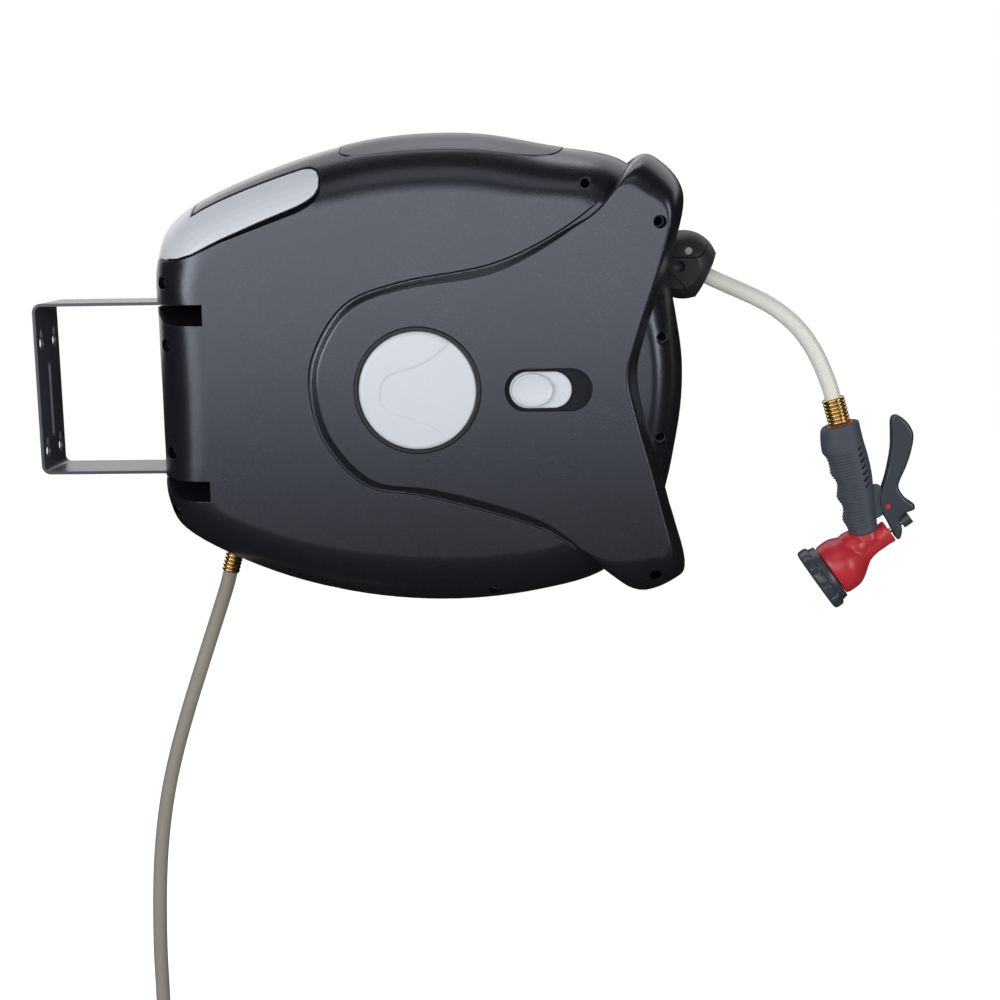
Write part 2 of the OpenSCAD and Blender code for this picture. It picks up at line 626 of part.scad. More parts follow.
// Top panel: an inset cover that follows the crown
panel_t = wall / 2;
PANEL = [[-66, -84], [-72, -60], [-72, 60], [-66, 84], [-30, 93], [60, 93], [120, 84], [137, 56],
    [137, -56], [120, -84], [60, -93], [-30, -93]];
module panel_outline(grow) translate([0, 0, casing_top / 2]) linear_extrude(casing_top) intersection() {
    offset(delta = grow) polygon(smooth([for (p = PANEL) [p[0] * casing_top / 237, p[1]]], 2));
    translate([-far_out, -far_out]) square([2 * far_out, far_out]);
}
module top_recess() difference() {
    panel_outline(0.4);
    half_form(panel_t);
}
module panel_half() difference() {
    intersection() {
        half_form(-1, 0);
        panel_outline(0);
    }
    half_form(panel_t);
}
module top_panel() color("#4a4d55") at_drum() {
    panel_half();
    mirror([0, 1, 0]) panel_half();
}

// ---------- hub cap ----------

module hub_ring() color("#17181a") at_drum() rotate([90, 0, 0]) rotate_extrude()
    polygon([[cap_r - 8, face_y - hub_floor], [hub_r, face_y - hub_floor], [hub_r, face_y + 1],
        [hub_r - 1, face_y + 1.8], [cap_r + 0.4, face_y + 1.8], [cap_r + 0.4, face_y - hub_floor + 3],
        [cap_r - 8, face_y - hub_floor + 3]]);

module hub_cap() color("#c9ced9") at_drum() rotate([90, 0, 0]) rotate_extrude()
    polygon([[0, face_y + 2.4 - cap_t], [cap_r - 6, face_y + 2.4 - cap_t], [cap_r - 6, face_y - hub_floor + 3],
        [cap_r - 2, face_y - hub_floor + 3], [cap_r - 2, face_y + 1 - cap_t / 2], [cap_r, face_y + 1 - cap_t / 2],
        [cap_r, face_y + 0.8], [cap_r - 1.5, face_y + 1.8], [cap_r / 2, face_y + 2.2],
        [0, face_y + 2.4]]);

// ---------- carrying handle ----------

module handle_side() difference() {
    intersection() {
        half_form(0, 0);
        handle_space(0);
    }
    translate([handle_axis[0], 0, handle_axis[1]]) rod(handle_pin_r + run_gap, -face_y, -ridge_half + eps);
}
module carry_handle() color("#cdd2db") at_drum() {
    handle_side();
    mirror([0, 1, 0]) handle_side();
}
module handle_pins() color("silver") at_drum() for (m = [0, 1]) mirror([0, m, 0])
    translate([handle_axis[0], 0, handle_axis[1]]) rod(handle_pin_r, -ridge_half - 9, -ridge_half + 11);

// ---------- lock ----------

module lock_slider() color("#c9ced9") at_drum() translate([slider_x, 0, recess_z]) {
    slab(floor_y - recess_d + 2.6, floor_y - slide_gap) stadium(slider_l, slider_h);
    slab(floor_y - recess_d - 1.6, floor_y - recess_d + 2.7) translate([-slider_l / 2 + 22, 0])
        stadium(38, slider_h - 4);
    slab(floor_y - slide_gap - eps, link_y) stadium(10, 9.4);
}

// The link under the recess, with a fork that moves the pawl's peg
fork_y = pawl_y - pawl_t - 7;
peg_z = pawl_pivot[1] - pawl_reach;
module slider_link() color("#2b2d31") at_drum() difference() {
    union() {
        slab(link_y, link_y + link_t) translate([(slider_x + pawl_pivot[0]) / 2, recess_z - 5])
            square([slider_x - pawl_pivot[0] + 24, 30], center = true);
        slab(link_y, fork_y) translate([pawl_pivot[0], peg_z + 2]) square([13, 22], center = true);
    }
    slab(link_y - eps, fork_y + eps) translate([pawl_pivot[0], peg_z + 2]) square([5.6, 15], center = true);
}

module pawl() color("#8a8f98") at_drum() difference() {
    union() {
        slab(pawl_y - pawl_t, pawl_y) {
            translate(pawl_pivot) circle(8);
            polygon([pawl_pivot + [-8, 0], [ratchet_r + 1, 14], [ratchet_r + 1, 8], [ratchet_r + 8, -2],
                [pawl_pivot[0] - 5, peg_z], [pawl_pivot[0] + 5, peg_z], pawl_pivot + [8, 0]]);
            translate([pawl_pivot[0], peg_z]) circle(5);
        }
        translate([pawl_pivot[0], 0, peg_z]) rod(peg_r, fork_y - 8, pawl_y - eps);
    }
    translate([pawl_pivot[0], 0, pawl_pivot[1]]) rod(pawl_pin_r + run_gap, -face_y, 0);
}
module pawl_pin() color("silver") at_drum() translate([pawl_pivot[0], 0, pawl_pivot[1]])
    rod(pawl_pin_r, -face_y + 2 * wall, pawl_y + 0.5);
module pawl_spring() color("silver") at_drum() translate([pawl_pivot[0], 0, pawl_pivot[1]]) difference() {
    rod(pawl_pin_r + 2.4, boss_end + slide_gap / 2, pawl_y - pawl_t - slide_gap);
    rod(pawl_pin_r + 0.2, boss_end - eps, pawl_y);
}

// ---------- drum ----------

near_web = 4;                     // thickness of the drum's near web
far_web_y = 22;                   // outer face of the drum's far web
sleeve_r = 15;                    // outside of the water sleeve
spigot_r = 11;                    // bore of the water sleeve
axle_end = 12;
nut_t = 5;

module drum_axle() color("silver") at_drum() rod(axle_r, -face_y + hub_floor - nut_t, axle_end);
module axle_nut() color("silver") at_drum() difference() {
    translate([0, -face_y + hub_floor, 0]) rotate([90, 0, 0]) cylinder(r = axle_r + 6, h = nut_t, $fn = 6);
    rod(axle_r, -face_y, 0);
}
module drum_bush() color("#d8d4c4") at_drum() difference() {
    rod(axle_r + 4, -drum_w / 2 - flange_t, -drum_w / 2 + near_web + 6);
    rod(axle_r + run_gap, -face_y, 0);
}
module drum_core() color("#2b2d31") at_drum() difference() {
    union() {
        difference() {
            rod(core_r, -drum_w / 2, drum_w / 2);
            rod(core_r - 4, -drum_w / 2 + near_web, far_web_y - 5);
            rod(core_r - 4, far_web_y, drum_w / 2 + eps);
        }
        rod(axle_r + 9, -drum_w / 2, -drum_w / 2 + near_web + 6);
        rod(sleeve_r + 4, -8, far_web_y + 8);
    }
    rod(axle_r + 4, -drum_w / 2 - eps, -drum_w / 2 + near_web + 7);
    rod(axle_r + run_gap, -9, axle_end + 1);
    rod(sleeve_r, far_web_y - 5, far_web_y + 9);
    translate([0, tail_y, 0]) rotate([0, 90, 0]) cylinder(r = tail_r, h = far_out);
}

// Side plates with stiffening ribs outside, and lightening holes between them
module side_plate(bore) difference() {
    union() {
        rod(flange_r, 0, flange_t);
        difference() {
            rod(flange_r, 0, flange_t + 1.5);
            rod(flange_r - 3, -eps, flange_t + 2 * eps);
        }
        for (a = [22.5:45:337.5]) rotate([0, a, 0]) translate([core_r - 2, 0, -1.5])
            cube([flange_r - core_r, flange_t + 1.2, 3]);
    }
    rotate([0, 11, 0]) rod(bore, -eps, flange_t + 2 * eps);
    for (a = [0:45:315]) rotate([0, a, 0]) {
        translate([(core_r + flange_r) / 2, 0, 0]) rotate([0, 30, 0]) rod(13, -eps, flange_t + 2 * eps);
        translate([core_r - 10, 0, 0]) {
            rod(screw_r, -eps, flange_t + eps);
            rod(screw_head_r, flange_t / 2, flange_t + eps);
        }
    }
}
module near_flange() color("#2b2d31") at_drum() mirror([0, 1, 0]) translate([0, drum_w / 2, 0])
    side_plate(axle_r + 4);
module far_flange() color("#2b2d31") at_drum() translate([0, drum_w / 2, 0]) side_plate(core_r - 24);
module flange_screws() color("silver") at_drum() for (m = [0, 1], a = [0:45:315]) mirror([0, m, 0])
    rotate([0, a, 0]) translate([core_r - 10, 0, 0]) {
        rod(screw_r, plate_y - flange_t, plate_y - flange_t / 2 + 0.5);
        rod(screw_head_r, plate_y - flange_t / 2, plate_y);
    }

// Ratchet teeth lean back on one flank
function tooth_point(i) = let (a = 360 * floor(i / 2) / teeth + 3, r = i % 2 == 0 ? ratchet_r : ratchet_r - tooth_h)
    r * [cos(a + (i % 2) * 2), sin(a + (i % 2) * 2)];
module ratchet_wheel() color("#8a8f98") at_drum() difference() {
    slab(-plate_y - tooth_h, -plate_y) polygon([for (i = [0:2 * teeth - 1]) tooth_point(i)]);
    rod(ratchet_r - tooth_h - 12, -face_y, 0);
}

// Mainspring: a flat strip wound from the axle out to the drum's core
spring_in = axle_r + 4;
strip_t = 1.6;
spring_out = core_r - 4.1 - strip_t;
function coil_r(t) = spring_in + (spring_out - spring_in) * t / spring_turns;
function strip(off) = [for (i = [0:RINGS * spring_turns]) let (t = i / RINGS)
    (coil_r(t) + off) * [cos(360 * t), sin(360 * t)]];
spring_y = -drum_w / 2 + near_web + 7;
module mainspring() color("#5c6068") at_drum() slab(spring_y, spring_y + spring_w)
    polygon(concat(strip(0), [for (i = [RINGS * spring_turns:-1:0]) strip(strip_t)[i]]));
module spring_cover() color("#3d434e") at_drum() difference() {
    rod(core_r - 4, spring_y + spring_w + 0.5, spring_y + spring_w + 3);
    rod(axle_r + 3, -face_y, 0);
}

// ---------- water way ----------

tail_y = 42;
tail_r = 8;
spigot_y = 52;
SEALS = [58, 68];
module swivel_body() color("#c9a24a") at_drum() difference() {
    union() {
        rod(spigot_r - run_gap, spigot_y, swivel_y0 + eps);
        rod(swivel_r, swivel_y0, face_y - wall);
        translate([0, pipe_y, 0]) rotate([0, -90, 0]) cylinder(r = 9.5, h = swivel_r + 2);
    }
    rod(7, spigot_y - eps, pipe_y + 4);
    translate([0, pipe_y, 0]) rotate([0, -90, 0]) cylinder(r = 5, h = swivel_r + 3);
    for (y = SEALS) difference() {
        rod(spigot_r + eps, y - 1.1, y + 1.1);
        rod(spigot_r - run_gap - 2, y - 2, y + 2);
    }
}
module swivel_seals() color("#17181a") at_drum() for (y = SEALS) translate([0, y, 0])
    rotate([90, 0, 0]) rotate_extrude() translate([spigot_r - run_gap - 1, 0]) circle(1, $fn = 16);
module swivel_sleeve() color("#c9a24a") at_drum() difference() {
    rod(sleeve_r, far_web_y - 5, plate_y + 2);
    rod(spigot_r, tail_y - 9, plate_y + 3);
    translate([0, tail_y, 0]) rotate([0, 90, 0]) cylinder(r = tail_r, h = far_out);
}
module hose_tail() color("#c9a24a") at_drum() difference() {
    translate([0, tail_y, 0]) rotate([0, 90, 0]) cylinder(r = tail_r, h = core_r - 0.2);
    rod(spigot_r, 0, far_out);
    translate([0, tail_y, 0]) rotate([0, 90, 0]) cylinder(r = 5, h = core_r + 1);
}

// ---------- hoses ----------

module hose_inner_layers() color("#deddcd") at_drum() difference() {
    rod(pack_r, -drum_w / 2 + slide_gap, drum_w / 2 - slide_gap);
    rod(core_r, -face_y, face_y);
}
module hose_outer_layer() color("#deddcd") at_drum() tube(LAYER, hose_d / 2, 6, [0, 1, 0.01]);
module leader_hose() color("#e4e3d6") tube(LEADER, hose_d / 2, 12, [0, 1, 0]);
module inlet_hose() color("#8f897c") tube(INLET, inlet_d / 2, 10, [0, 1, 0]);
module inlet_coil() color("#8f897c") tube(COIL, inlet_d / 2, 6, [0, 1, 0.01]);
module inlet_pipe() color("#8f897c") tube(PIPE, pipe_r, 8, [0.35, -0.25, 0.9]);

tie_z = coil_mid[2] + coil_d / 2;
module coil_tie() color("#2b2d31") {
    half = (coil_y(coil_turns - 0.25) - coil_y(0.75)) / 2 + 0.3;
    mid = (coil_y(coil_turns - 0.25) + coil_y(0.75)) / 2;
    translate([coil_mid[0] - 4, mid, tie_z]) rotate([90, 0, 90]) linear_extrude(8) difference() {
        hull() for (s = [-1, 1]) translate([s * half, 0]) circle(inlet_d / 2 + 2);
        hull() for (s = [-1, 1]) translate([s * half, 0]) circle(inlet_d / 2 + 0.5);
    }
}

// Ribbed coupling along +Z, n ribs
module ribbed(r, l, n, bore) rotate_extrude() difference() {
    union() {
        square([r - 0.9, l]);
        for (i = [0:n - 1]) translate([r - 1, l * (i + 0.5) / n]) circle(l / n * 0.42, $fn = 16);
    }
    translate([-eps, -eps]) square([bore + eps, l + 2 * eps]);
}

module inlet_gland() color("#c9a24a") at_inlet() translate([0, 0, inlet_ferrule_l]) difference() {
    cylinder(r = gland_r, h = inlet_gland_l);
    translate([0, 0, -eps]) cylinder(r = 4, h = inlet_gland_l + 2 * eps);
}
module inlet_ferrule() color("#d9b25a") at_inlet() ribbed(8.7, inlet_ferrule_l, 6, 4);

// Connector for the tap at the end of the stored turns
tap_at = COIL[len(COIL) - 1];
tap_ring = 7;
module tap_connector() color("#d9b25a") translate(tap_at) mirror([0, 0, 1]) {
    ribbed(9.5, 18, 4, 4);
    difference() {
        union() {
            translate([0, 0, 18 - eps / 2]) cylinder(r = tap_r + 4.4, h = tap_l + 6);
            for (a = [0:45:315]) rotate([0, 0, a]) translate([tap_r + 4, 0, 18])
                cylinder(r = 1.6, h = tap_l + 4, $fn = 16);
        }
        translate([0, 0, 18 - eps]) cylinder(r = tap_ring, h = 2 * tap_l);
        translate([0, 0, 18 + 5.5]) cylinder(r = tap_r, h = 2 * tap_l);
    }
}

// ---------- hose stop ----------

clamp_half = 14;                  // half height of the middle clamp piece
module ball_form() rotate_extrude() intersection() {
    difference() {
        union() {
            circle(ball_r, $fn = 64);
            polygon([[0, 0], [ball_r * 0.9, 8], [nose_r + 5, nose_x - 1], [nose_r, nose_x], [0, nose_x]]);
        }
        translate([-60, -60]) square([60 + hose_d / 2, 120]);
        translate([0, nose_x]) square([60, 60]);
    }
    translate([0, -60]) square([60, 120]);
}
// Split line of the clamp piece, seen from the side
module clamp_outline() polygon([[6, -clamp_half + 2], [14, -clamp_half + 5], [60, -clamp_half + 9], [60, 9],
    [10, 8], [0, 10], [-60, 10], [-60, -20], [-9, -20]]);
module stop_ball() color("#1f2023") at_ball() difference() {
    ball_form();
    rotate([0, -90 - ball_tilt, 0]) slab(-60, 60) clamp_outline();
    rotate([0, -90 - ball_tilt, 0]) translate([4, 0, 14]) rod(3.4, -60, -20);
}
module stop_ball_clamp() color("#26272b") at_ball() intersection() {
    difference() {
        ball_form();
        rotate([0, -90 - ball_tilt, 0]) translate([-3, 0, -8]) rod(5.5, -60, -31);
    }
    rotate([0, -90 - ball_tilt, 0]) slab(-60, 60) clamp_outline();
}
module stop_ball_screw() color("silver") at_ball() rotate([0, -90 - ball_tilt, 0])
    translate([4, 0, 14]) rod(3.4, -26, -20);

// ---------- outlet ----------

module roller_bores() {
    for (s = [-1, 1]) {
        translate([cross_x, 0, cross_z + s * cross_off]) rod(roller_pin_r, -frame_out, frame_out);
        translate([upright_x, s * roller_off, outlet_z - frame_out])
            cylinder(r = roller_pin_r, h = 2 * frame_out);
    }
}
module outlet_frame() color("#1f2023") difference() {
    translate([frame_back, -frame_out, outlet_z - frame_out]) cube([frame_d, 2 * frame_out, 2 * frame_out]);
    translate([frame_back - eps, -frame_in, outlet_z - frame_in])
        cube([frame_d + 2 * eps, 2 * frame_in, 2 * frame_in]);
    roller_bores();
}
module roller() difference() {
    union() {
        cylinder(r = roller_r, h = roller_l, center = true);
        cylinder(r = roller_pin_r + 1.4, h = 2 * frame_in - 2 * slide_gap, center = true);
    }
    cylinder(r = roller_pin_r + run_gap, h = 3 * roller_l, center = true);
}
module roller_top() color("#4a4d55") translate([cross_x, 0, cross_z + cross_off]) rotate([90, 0, 0]) roller();
module roller_bottom() color("#4a4d55") translate([cross_x, 0, cross_z - cross_off]) rotate([90, 0, 0]) roller();
module roller_near() color("#4a4d55") translate([upright_x, -roller_off, outlet_z]) roller();
module roller_far() color("#4a4d55") translate([upright_x, roller_off, outlet_z]) roller();
module roller_pins() color("silver") roller_bores();

// ---------- spray gun ----------

module hose_ferrule() color("#d9b25a") translate(LEADER[len(LEADER) - 1]) rotate([0, 180 - coupling_tilt, 0])
    ribbed(10.8, coupling_l - 1, 7, 4);
module hose_washer() color("#c9713d") at_grip() translate([0, 0, -2.4]) difference() {
    cylinder(r = 13.4, h = 2.4);
    translate([0, 0, -eps]) cylinder(r = 5, h = 5);
}

// Side outline of the grip: it swells below the collar and has waves for the fingers on the hose side
function grip_swell(z) = grip_bulge
    * (0.64 * ramp(0, 18, z) - 0.6 * ramp(34, 52, z) - 0.27 * ramp(52, grip_l, z));
function grip_back(z) = -collar_r - grip_swell(z) - grip_wave * cos(360 * (z - wave_top) / wave_l)
    * ramp(wave_top - 10, wave_top, z);
GRIP = concat([for (z = [0:3:grip_l]) [grip_back(z), -z]], [[-collar_r + 4.5, -grip_l - 2],
    [collar_r - 4.7, -grip_l - 2], [collar_r - 4.2, -grip_l + 10], [collar_r - 2.5, -84],
    [collar_r + 0.1, -66], [collar_r + 1.5, -44], [collar_r + 0.6, -27], [collar_r, -12], [collar_r, 0]]);
module gun_grip() color("#4b505c") {
    at_grip() difference() {
        intersection() {
            slab(-collar_r, collar_r) polygon(GRIP);
            translate([0, 0, -grip_l - 4]) linear_extrude(grip_l + 4) hull() {
                translate([1, 0]) circle(collar_r - 1);
                translate([-grip_bulge - 4, 0]) circle(collar_r - 4);
                translate([9, 0]) circle(collar_r - 7);
            }
        }
        translate([0, 0, -2.4]) cylinder(r = 13.4, h = 5);
        translate([0, 0, -grip_l - 5]) cylinder(r = 10, h = grip_l + 6);
        grip_body_cut();
    }
    difference() {
        slab(-lug_half, lug_half) difference() {
            hull() {
                translate(trigger_at) circle(6);
                translate([833, -106]) circle(6);
                translate([833, -130]) circle(4);
            }
            translate(trigger_at) circle(trigger_pin_r);
        }
        at_grip() translate([0, 0, -grip_l - 5]) cylinder(r = 13, h = grip_l + 6);
        barrel_space();
    }
}
module barrel_space() at_nozzle() translate([0, 0, dial_t]) cylinder(r = barrel_r + 0.1, h = barrel_l);
module grip_body_cut() translate([0, 0, 0]) rotate([0, grip_tilt, 0]) translate(-grip_top) {
    barrel_space();
    at_nozzle() cylinder(r1 = bulb_r, r2 = barrel_r, h = 66);
}

BODY = [[0, 18.6], [bulb_r - 1, 18.6], [bulb_r, 26], [bulb_r - 0.3, 33], [bulb_r - 2, 39], [bulb_r - 5.5, 45],
    [bulb_r - 10, 51], [bulb_r - 14, 57], [barrel_r + 0.3, 65], [barrel_r, 73]];
module gun_body() color("#b3273a") {
    at_nozzle() difference() {
        union() {
            rotate_extrude() polygon(concat(BODY, [[barrel_r, barrel_l], [0, barrel_l]]));
            translate([0, 0, 6]) cylinder(r = 8, h = 14);
        }
        translate([0, 0, 70]) cylinder(r = stem_r + run_gap, h = 40);
    }
    difference() {
        at_grip() translate([0, 0, -grip_l - 14]) cylinder(r = 10, h = grip_l + 11.6);
        at_nozzle() translate([0, 0, 18.6]) cylinder(r = barrel_r - 0.2, h = barrel_l - 19);
        at_grip() translate([0, 0, -30]) cylinder(r = 5, h = 40);
    }
}

// Dial with grip lobes; the spray plate sits in its front
module gun_dial() color("#3a3e46") at_nozzle() difference() {
    union() {
        cylinder(r = dial_r - 2, h = 12);
        for (a = [0:30:330]) rotate([0, 0, a]) translate([dial_r - 7, 0, 1]) cylinder(r = 7, h = 10);
        translate([0, 0, 11]) cylinder(r = dial_r - 4, h = dial_t - 11.7);
    }
    translate([0, 0, -eps]) cylinder(r = dial_r - 8, h = 4 + eps);
    translate([0, 0, 5]) cylinder(r = 8 + run_gap, h = dial_t);
}
module dial_face() color("#23252a") at_nozzle() difference() {
    translate([0, 0, 1.2]) cylinder(r = dial_r - 8, h = 2.8);
    for (a = [0:45:315]) rotate([0, 0, a]) translate([17, 0, 0]) cylinder(r = 3.2, h = 3, $fn = 24);
    cylinder(r = 5, h = 2.6, $fn = 24);
}

module gun_trigger() color("#3f444e") difference() {
    slab(-trigger_w / 2, trigger_w / 2) difference() {
        polygon(TRIGGER);
        translate(trigger_at) circle(trigger_pin_r + run_gap);
    }
    slab(-lug_half - 0.5, lug_half + 0.5) {
        translate([-3.4, -3.4]) polygon(TRIGGER);
        translate(trigger_at + [-14, -60]) square([40, 66]);
    }
}
module trigger_pin() color("#b3273a") translate([trigger_at[0], 0, trigger_at[1]])
    rod(trigger_pin_r, -trigger_w / 2 - 0.8, trigger_w / 2 + 0.8);
module valve_stem() color("silver") at_nozzle() translate([0, 0, 72]) cylinder(r = stem_r, h = knob_s - 72);
module flow_knob() color("#7b828f") at_nozzle() translate([0, 0, knob_s]) cylinder(r = knob_r, h = knob_l);

wall_bracket();
pivot_bushes();
pivot_pins();
near_casing();
far_casing();
casing_screws();
top_panel();
hub_ring();
hub_cap();
carry_handle();
handle_pins();
lock_slider();
slider_link();
pawl();
pawl_pin();
pawl_spring();
drum_axle();
axle_nut();
swivel_body();
swivel_seals();
swivel_sleeve();
hose_tail();
drum_core();
near_flange();
far_flange();
flange_screws();
ratchet_wheel();
drum_bush();
mainspring();
spring_cover();
hose_inner_layers();
hose_outer_layer();
outlet_frame();
roller_top();
roller_bottom();
roller_near();
roller_far();
roller_pins();
leader_hose();
stop_ball();
stop_ball_clamp();
stop_ball_screw();
hose_ferrule();
hose_washer();
gun_body();
gun_grip();
gun_dial();
dial_face();
gun_trigger();
trigger_pin();
valve_stem();
flow_knob();
inlet_pipe();
inlet_gland();
inlet_ferrule();
inlet_hose();
inlet_coil();
coil_tie();
tap_connector();
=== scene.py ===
"""Looks of a wall-mounted garden hose reel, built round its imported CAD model.

Metres, Z up, origin on the wall face. Outlines and profiles are drawn in millimetres.
"""

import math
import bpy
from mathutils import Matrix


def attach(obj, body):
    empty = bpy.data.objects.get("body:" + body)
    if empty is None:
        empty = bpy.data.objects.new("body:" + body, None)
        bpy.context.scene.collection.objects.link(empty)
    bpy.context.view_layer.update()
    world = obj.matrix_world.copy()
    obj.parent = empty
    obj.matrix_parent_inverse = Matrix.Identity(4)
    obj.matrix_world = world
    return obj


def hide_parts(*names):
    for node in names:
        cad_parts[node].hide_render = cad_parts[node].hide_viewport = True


bl_info = {
    "name": "Garden hose reel",
    "version": (1, 0, 0),
    "blender": (4, 5, 0),
    "location": "3D View > Sidebar > Hose reel",
    "description": "Dresses the packed CAD model of a wall-mounted garden hose reel",
    "category": "Object",
}

import bmesh
import bpy
import numpy as np
from mathutils import Matrix, Vector

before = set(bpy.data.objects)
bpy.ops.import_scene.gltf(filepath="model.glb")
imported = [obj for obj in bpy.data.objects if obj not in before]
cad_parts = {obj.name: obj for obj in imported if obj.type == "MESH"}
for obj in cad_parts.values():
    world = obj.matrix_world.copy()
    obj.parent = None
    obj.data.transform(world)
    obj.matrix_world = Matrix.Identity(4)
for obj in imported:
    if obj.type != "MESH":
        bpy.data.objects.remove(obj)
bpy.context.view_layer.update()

MM = 0.001
PER_METRE = 1000.0
ON_AXIS = 1e-6  # a radius below this is on the axis
DRUM = Vector((386, 0, 13))  # middle of the drum axis, in millimetres


# ---------- curves and outlines, in millimetres ----------


def smooth(points, steps, closed=True):
    """A curve that runs smoothly through the points."""
    points = [np.array(p, float) for p in points]
    count = len(points)
    made = []
    for i in range(count if closed else count - 1):
        if closed:
            a, b, c, d = (points[(i + k) % count] for k in (-1, 0, 1, 2))
        else:
            b, c = points[i], points[i + 1]
            a = points[i - 1] if i else 2 * b - c
            d = points[i + 2] if i + 2 < count else 2 * c - b
        for k in range(steps):
            t = k / steps
            made.append(0.5 * (2 * b + t * (c - a) + t * t * (2 * a - 5 * b + 4 * c - d)
                               + t ** 3 * (3 * b - a - 3 * c + d)))
    if not closed:
        made.append(points[-1])
    return np.array(made)


def ramp(low, high, x):
    """A soft step from 0 to 1."""
    t = np.clip((x - low) / (high - low), 0, 1)
    return t * t * (3 - 2 * t)


def offset_outline(points, grow):
    """A closed outline moved outwards by grow."""
    points = np.array(points, float)
    area = np.sum(points[:, 0] * np.roll(points[:, 1], -1)
                  - np.roll(points[:, 0], -1) * points[:, 1])
    sign = 1 if area > 0 else -1
    along = np.roll(points, -1, 0) - points
    normal = np.stack([along[:, 1], -along[:, 0]], 1) * sign
    normal /= np.linalg.norm(normal, axis=1)[:, None]
    corner = normal + np.roll(normal, 1, 0)
    corner /= np.linalg.norm(corner, axis=1)[:, None]
    share = np.maximum(0.5, np.sum(corner * normal, 1))[:, None]
    return points + corner * grow / share


def circle(radius, sides, centre=(0, 0)):
    """A round outline."""
    turn = np.linspace(0, 2 * math.pi, sides, endpoint=False)
    return np.stack([centre[0] + radius * np.cos(turn), centre[1] + radius * np.sin(turn)], 1)


def stadium(length, height, sides=16, centre=(0, 0)):
    """A slot outline with round ends."""
    r = height / 2
    right = np.linspace(-math.pi / 2, math.pi / 2, sides)
    ends = [(centre[0] + s * (length / 2 - r), right + (0 if s > 0 else math.pi)) for s in (1, -1)]
    return np.array([(x + r * math.cos(t), centre[1] + r * math.sin(t))
                     for x, turn in ends for t in turn])


# ---------- meshes ----------


def new_piece(name, verts, faces, scale=MM):
    """An object with its mesh, its faces turned outwards."""
    mesh = bpy.data.meshes.new(name)
    mesh.from_pydata([tuple(float(c) * scale for c in v) for v in verts], [], faces)
    mesh.update()
    piece = bpy.data.objects.new(name, mesh)
    bpy.context.scene.collection.objects.link(piece)
    face_outwards(piece)
    return piece


def face_outwards(piece):
    """Turns the faces of a closed mesh outwards."""
    mesh = bmesh.new()
    mesh.from_mesh(piece.data)
    bmesh.ops.recalc_face_normals(mesh, faces=mesh.faces)
    mesh.to_mesh(piece.data)
    mesh.free()


def loft(name, rings, caps=(True, True)):
    """A skin over closed rings of equal length."""
    count = len(rings[0])
    verts = [v for ring in rings for v in ring]
    faces = [(j * count + i, j * count + (i + 1) % count,
              (j + 1) * count + (i + 1) % count, (j + 1) * count + i)
             for j in range(len(rings) - 1) for i in range(count)]
    if caps[0]:
        faces.append(tuple(range(count)))
    if caps[1]:
        faces.append(tuple((len(rings) - 1) * count + i for i in range(count)))
    return new_piece(name, verts, faces)


def slab(name, outline, low, high):
    """An outline drawn in X and Z, extruded from Y low to Y high."""
    return loft(name, [[(p[0], y, p[1]) for p in outline] for y in (low, high)])


def lathe(name, profile, sides, matrix=None):
    """A profile of (radius, height) turned about Z, then moved by a matrix in millimetres."""
    verts, faces, rows = [], [], []
    for r, h in profile:
        if r < ON_AXIS:
            rows.append([len(verts)])
            verts.append((0, 0, h))
        else:
            rows.append(list(range(len(verts), len(verts) + sides)))
            turns = [2 * math.pi * k / sides for k in range(sides)]
            verts += [(r * math.cos(t), r * math.sin(t), h) for t in turns]
    if profile[0] == profile[-1]:
        rows[-1] = rows[0]
        verts = verts[:-sides] if profile[0][0] > ON_AXIS else verts[:-1]
    for low, high in zip(rows, rows[1:]):
        for k in range(sides):
            ring = [low[k % len(low)], low[(k + 1) % len(low)],
                    high[(k + 1) % len(high)], high[k % len(high)]]
            face = tuple(dict.fromkeys(ring))
            if len(face) > 2:
                faces.append(face)
    piece = new_piece(name, verts, faces)
    if matrix is not None:
        place(piece, matrix)
    return piece


def scaled_place(matrix):
    """A matrix in millimetres as one in metres."""
    made = matrix.copy()
    made.translation = matrix.translation * MM
    return made


def evaluated(piece):
    """Applies the piece's modifiers."""
    depsgraph = bpy.context.evaluated_depsgraph_get()
    mesh = bpy.data.meshes.new_from_object(piece.evaluated_get(depsgraph))
    piece.modifiers.clear()
    piece.data = mesh
    return piece


def shape(piece, other, how="DIFFERENCE"):
    """Cuts other from piece, joins it or keeps what both share, and removes other."""
    change = piece.modifiers.new("shape", "BOOLEAN")
    change.operation, change.solver, change.object = how, "EXACT", other
    change.use_self = False
    evaluated(piece)
    bpy.data.objects.remove(other)
    if not piece.data.polygons:
        raise RuntimeError(f"{piece.name} has no faces left")
    return piece


def round_edges(piece, width, segments, angle=40):
    """Bevels the edges that turn by more than an angle in degrees."""
    edge = piece.modifiers.new("edges", "BEVEL")
    edge.width, edge.segments, edge.limit_method = width * MM, segments, "ANGLE"
    edge.angle_limit = math.radians(angle)
    edge.use_clamp_overlap = True
    return evaluated(piece)


def soften(piece, voxel, rounds):
    """Turns a sharp solid into one with the soft edges of a moulding."""
    skin = piece.modifiers.new("skin", "REMESH")
    skin.mode, skin.voxel_size = "VOXEL", voxel * MM
    blur = piece.modifiers.new("soft", "SMOOTH")
    blur.factor, blur.iterations = 0.5, rounds
    return evaluated(piece)


def flipped(piece):
    """The piece itself, moved to the other side of the middle plane."""
    piece.data.transform(Matrix.Scale(-1, 4, (0, 1, 0)))
    face_outwards(piece)
    return piece


def mirrored(piece, name=None):
    """A copy of the piece on the other side of the middle plane."""
    other = bpy.data.objects.new(name or piece.name + "_far", piece.data.copy())
    bpy.context.scene.collection.objects.link(other)
    return flipped(other)


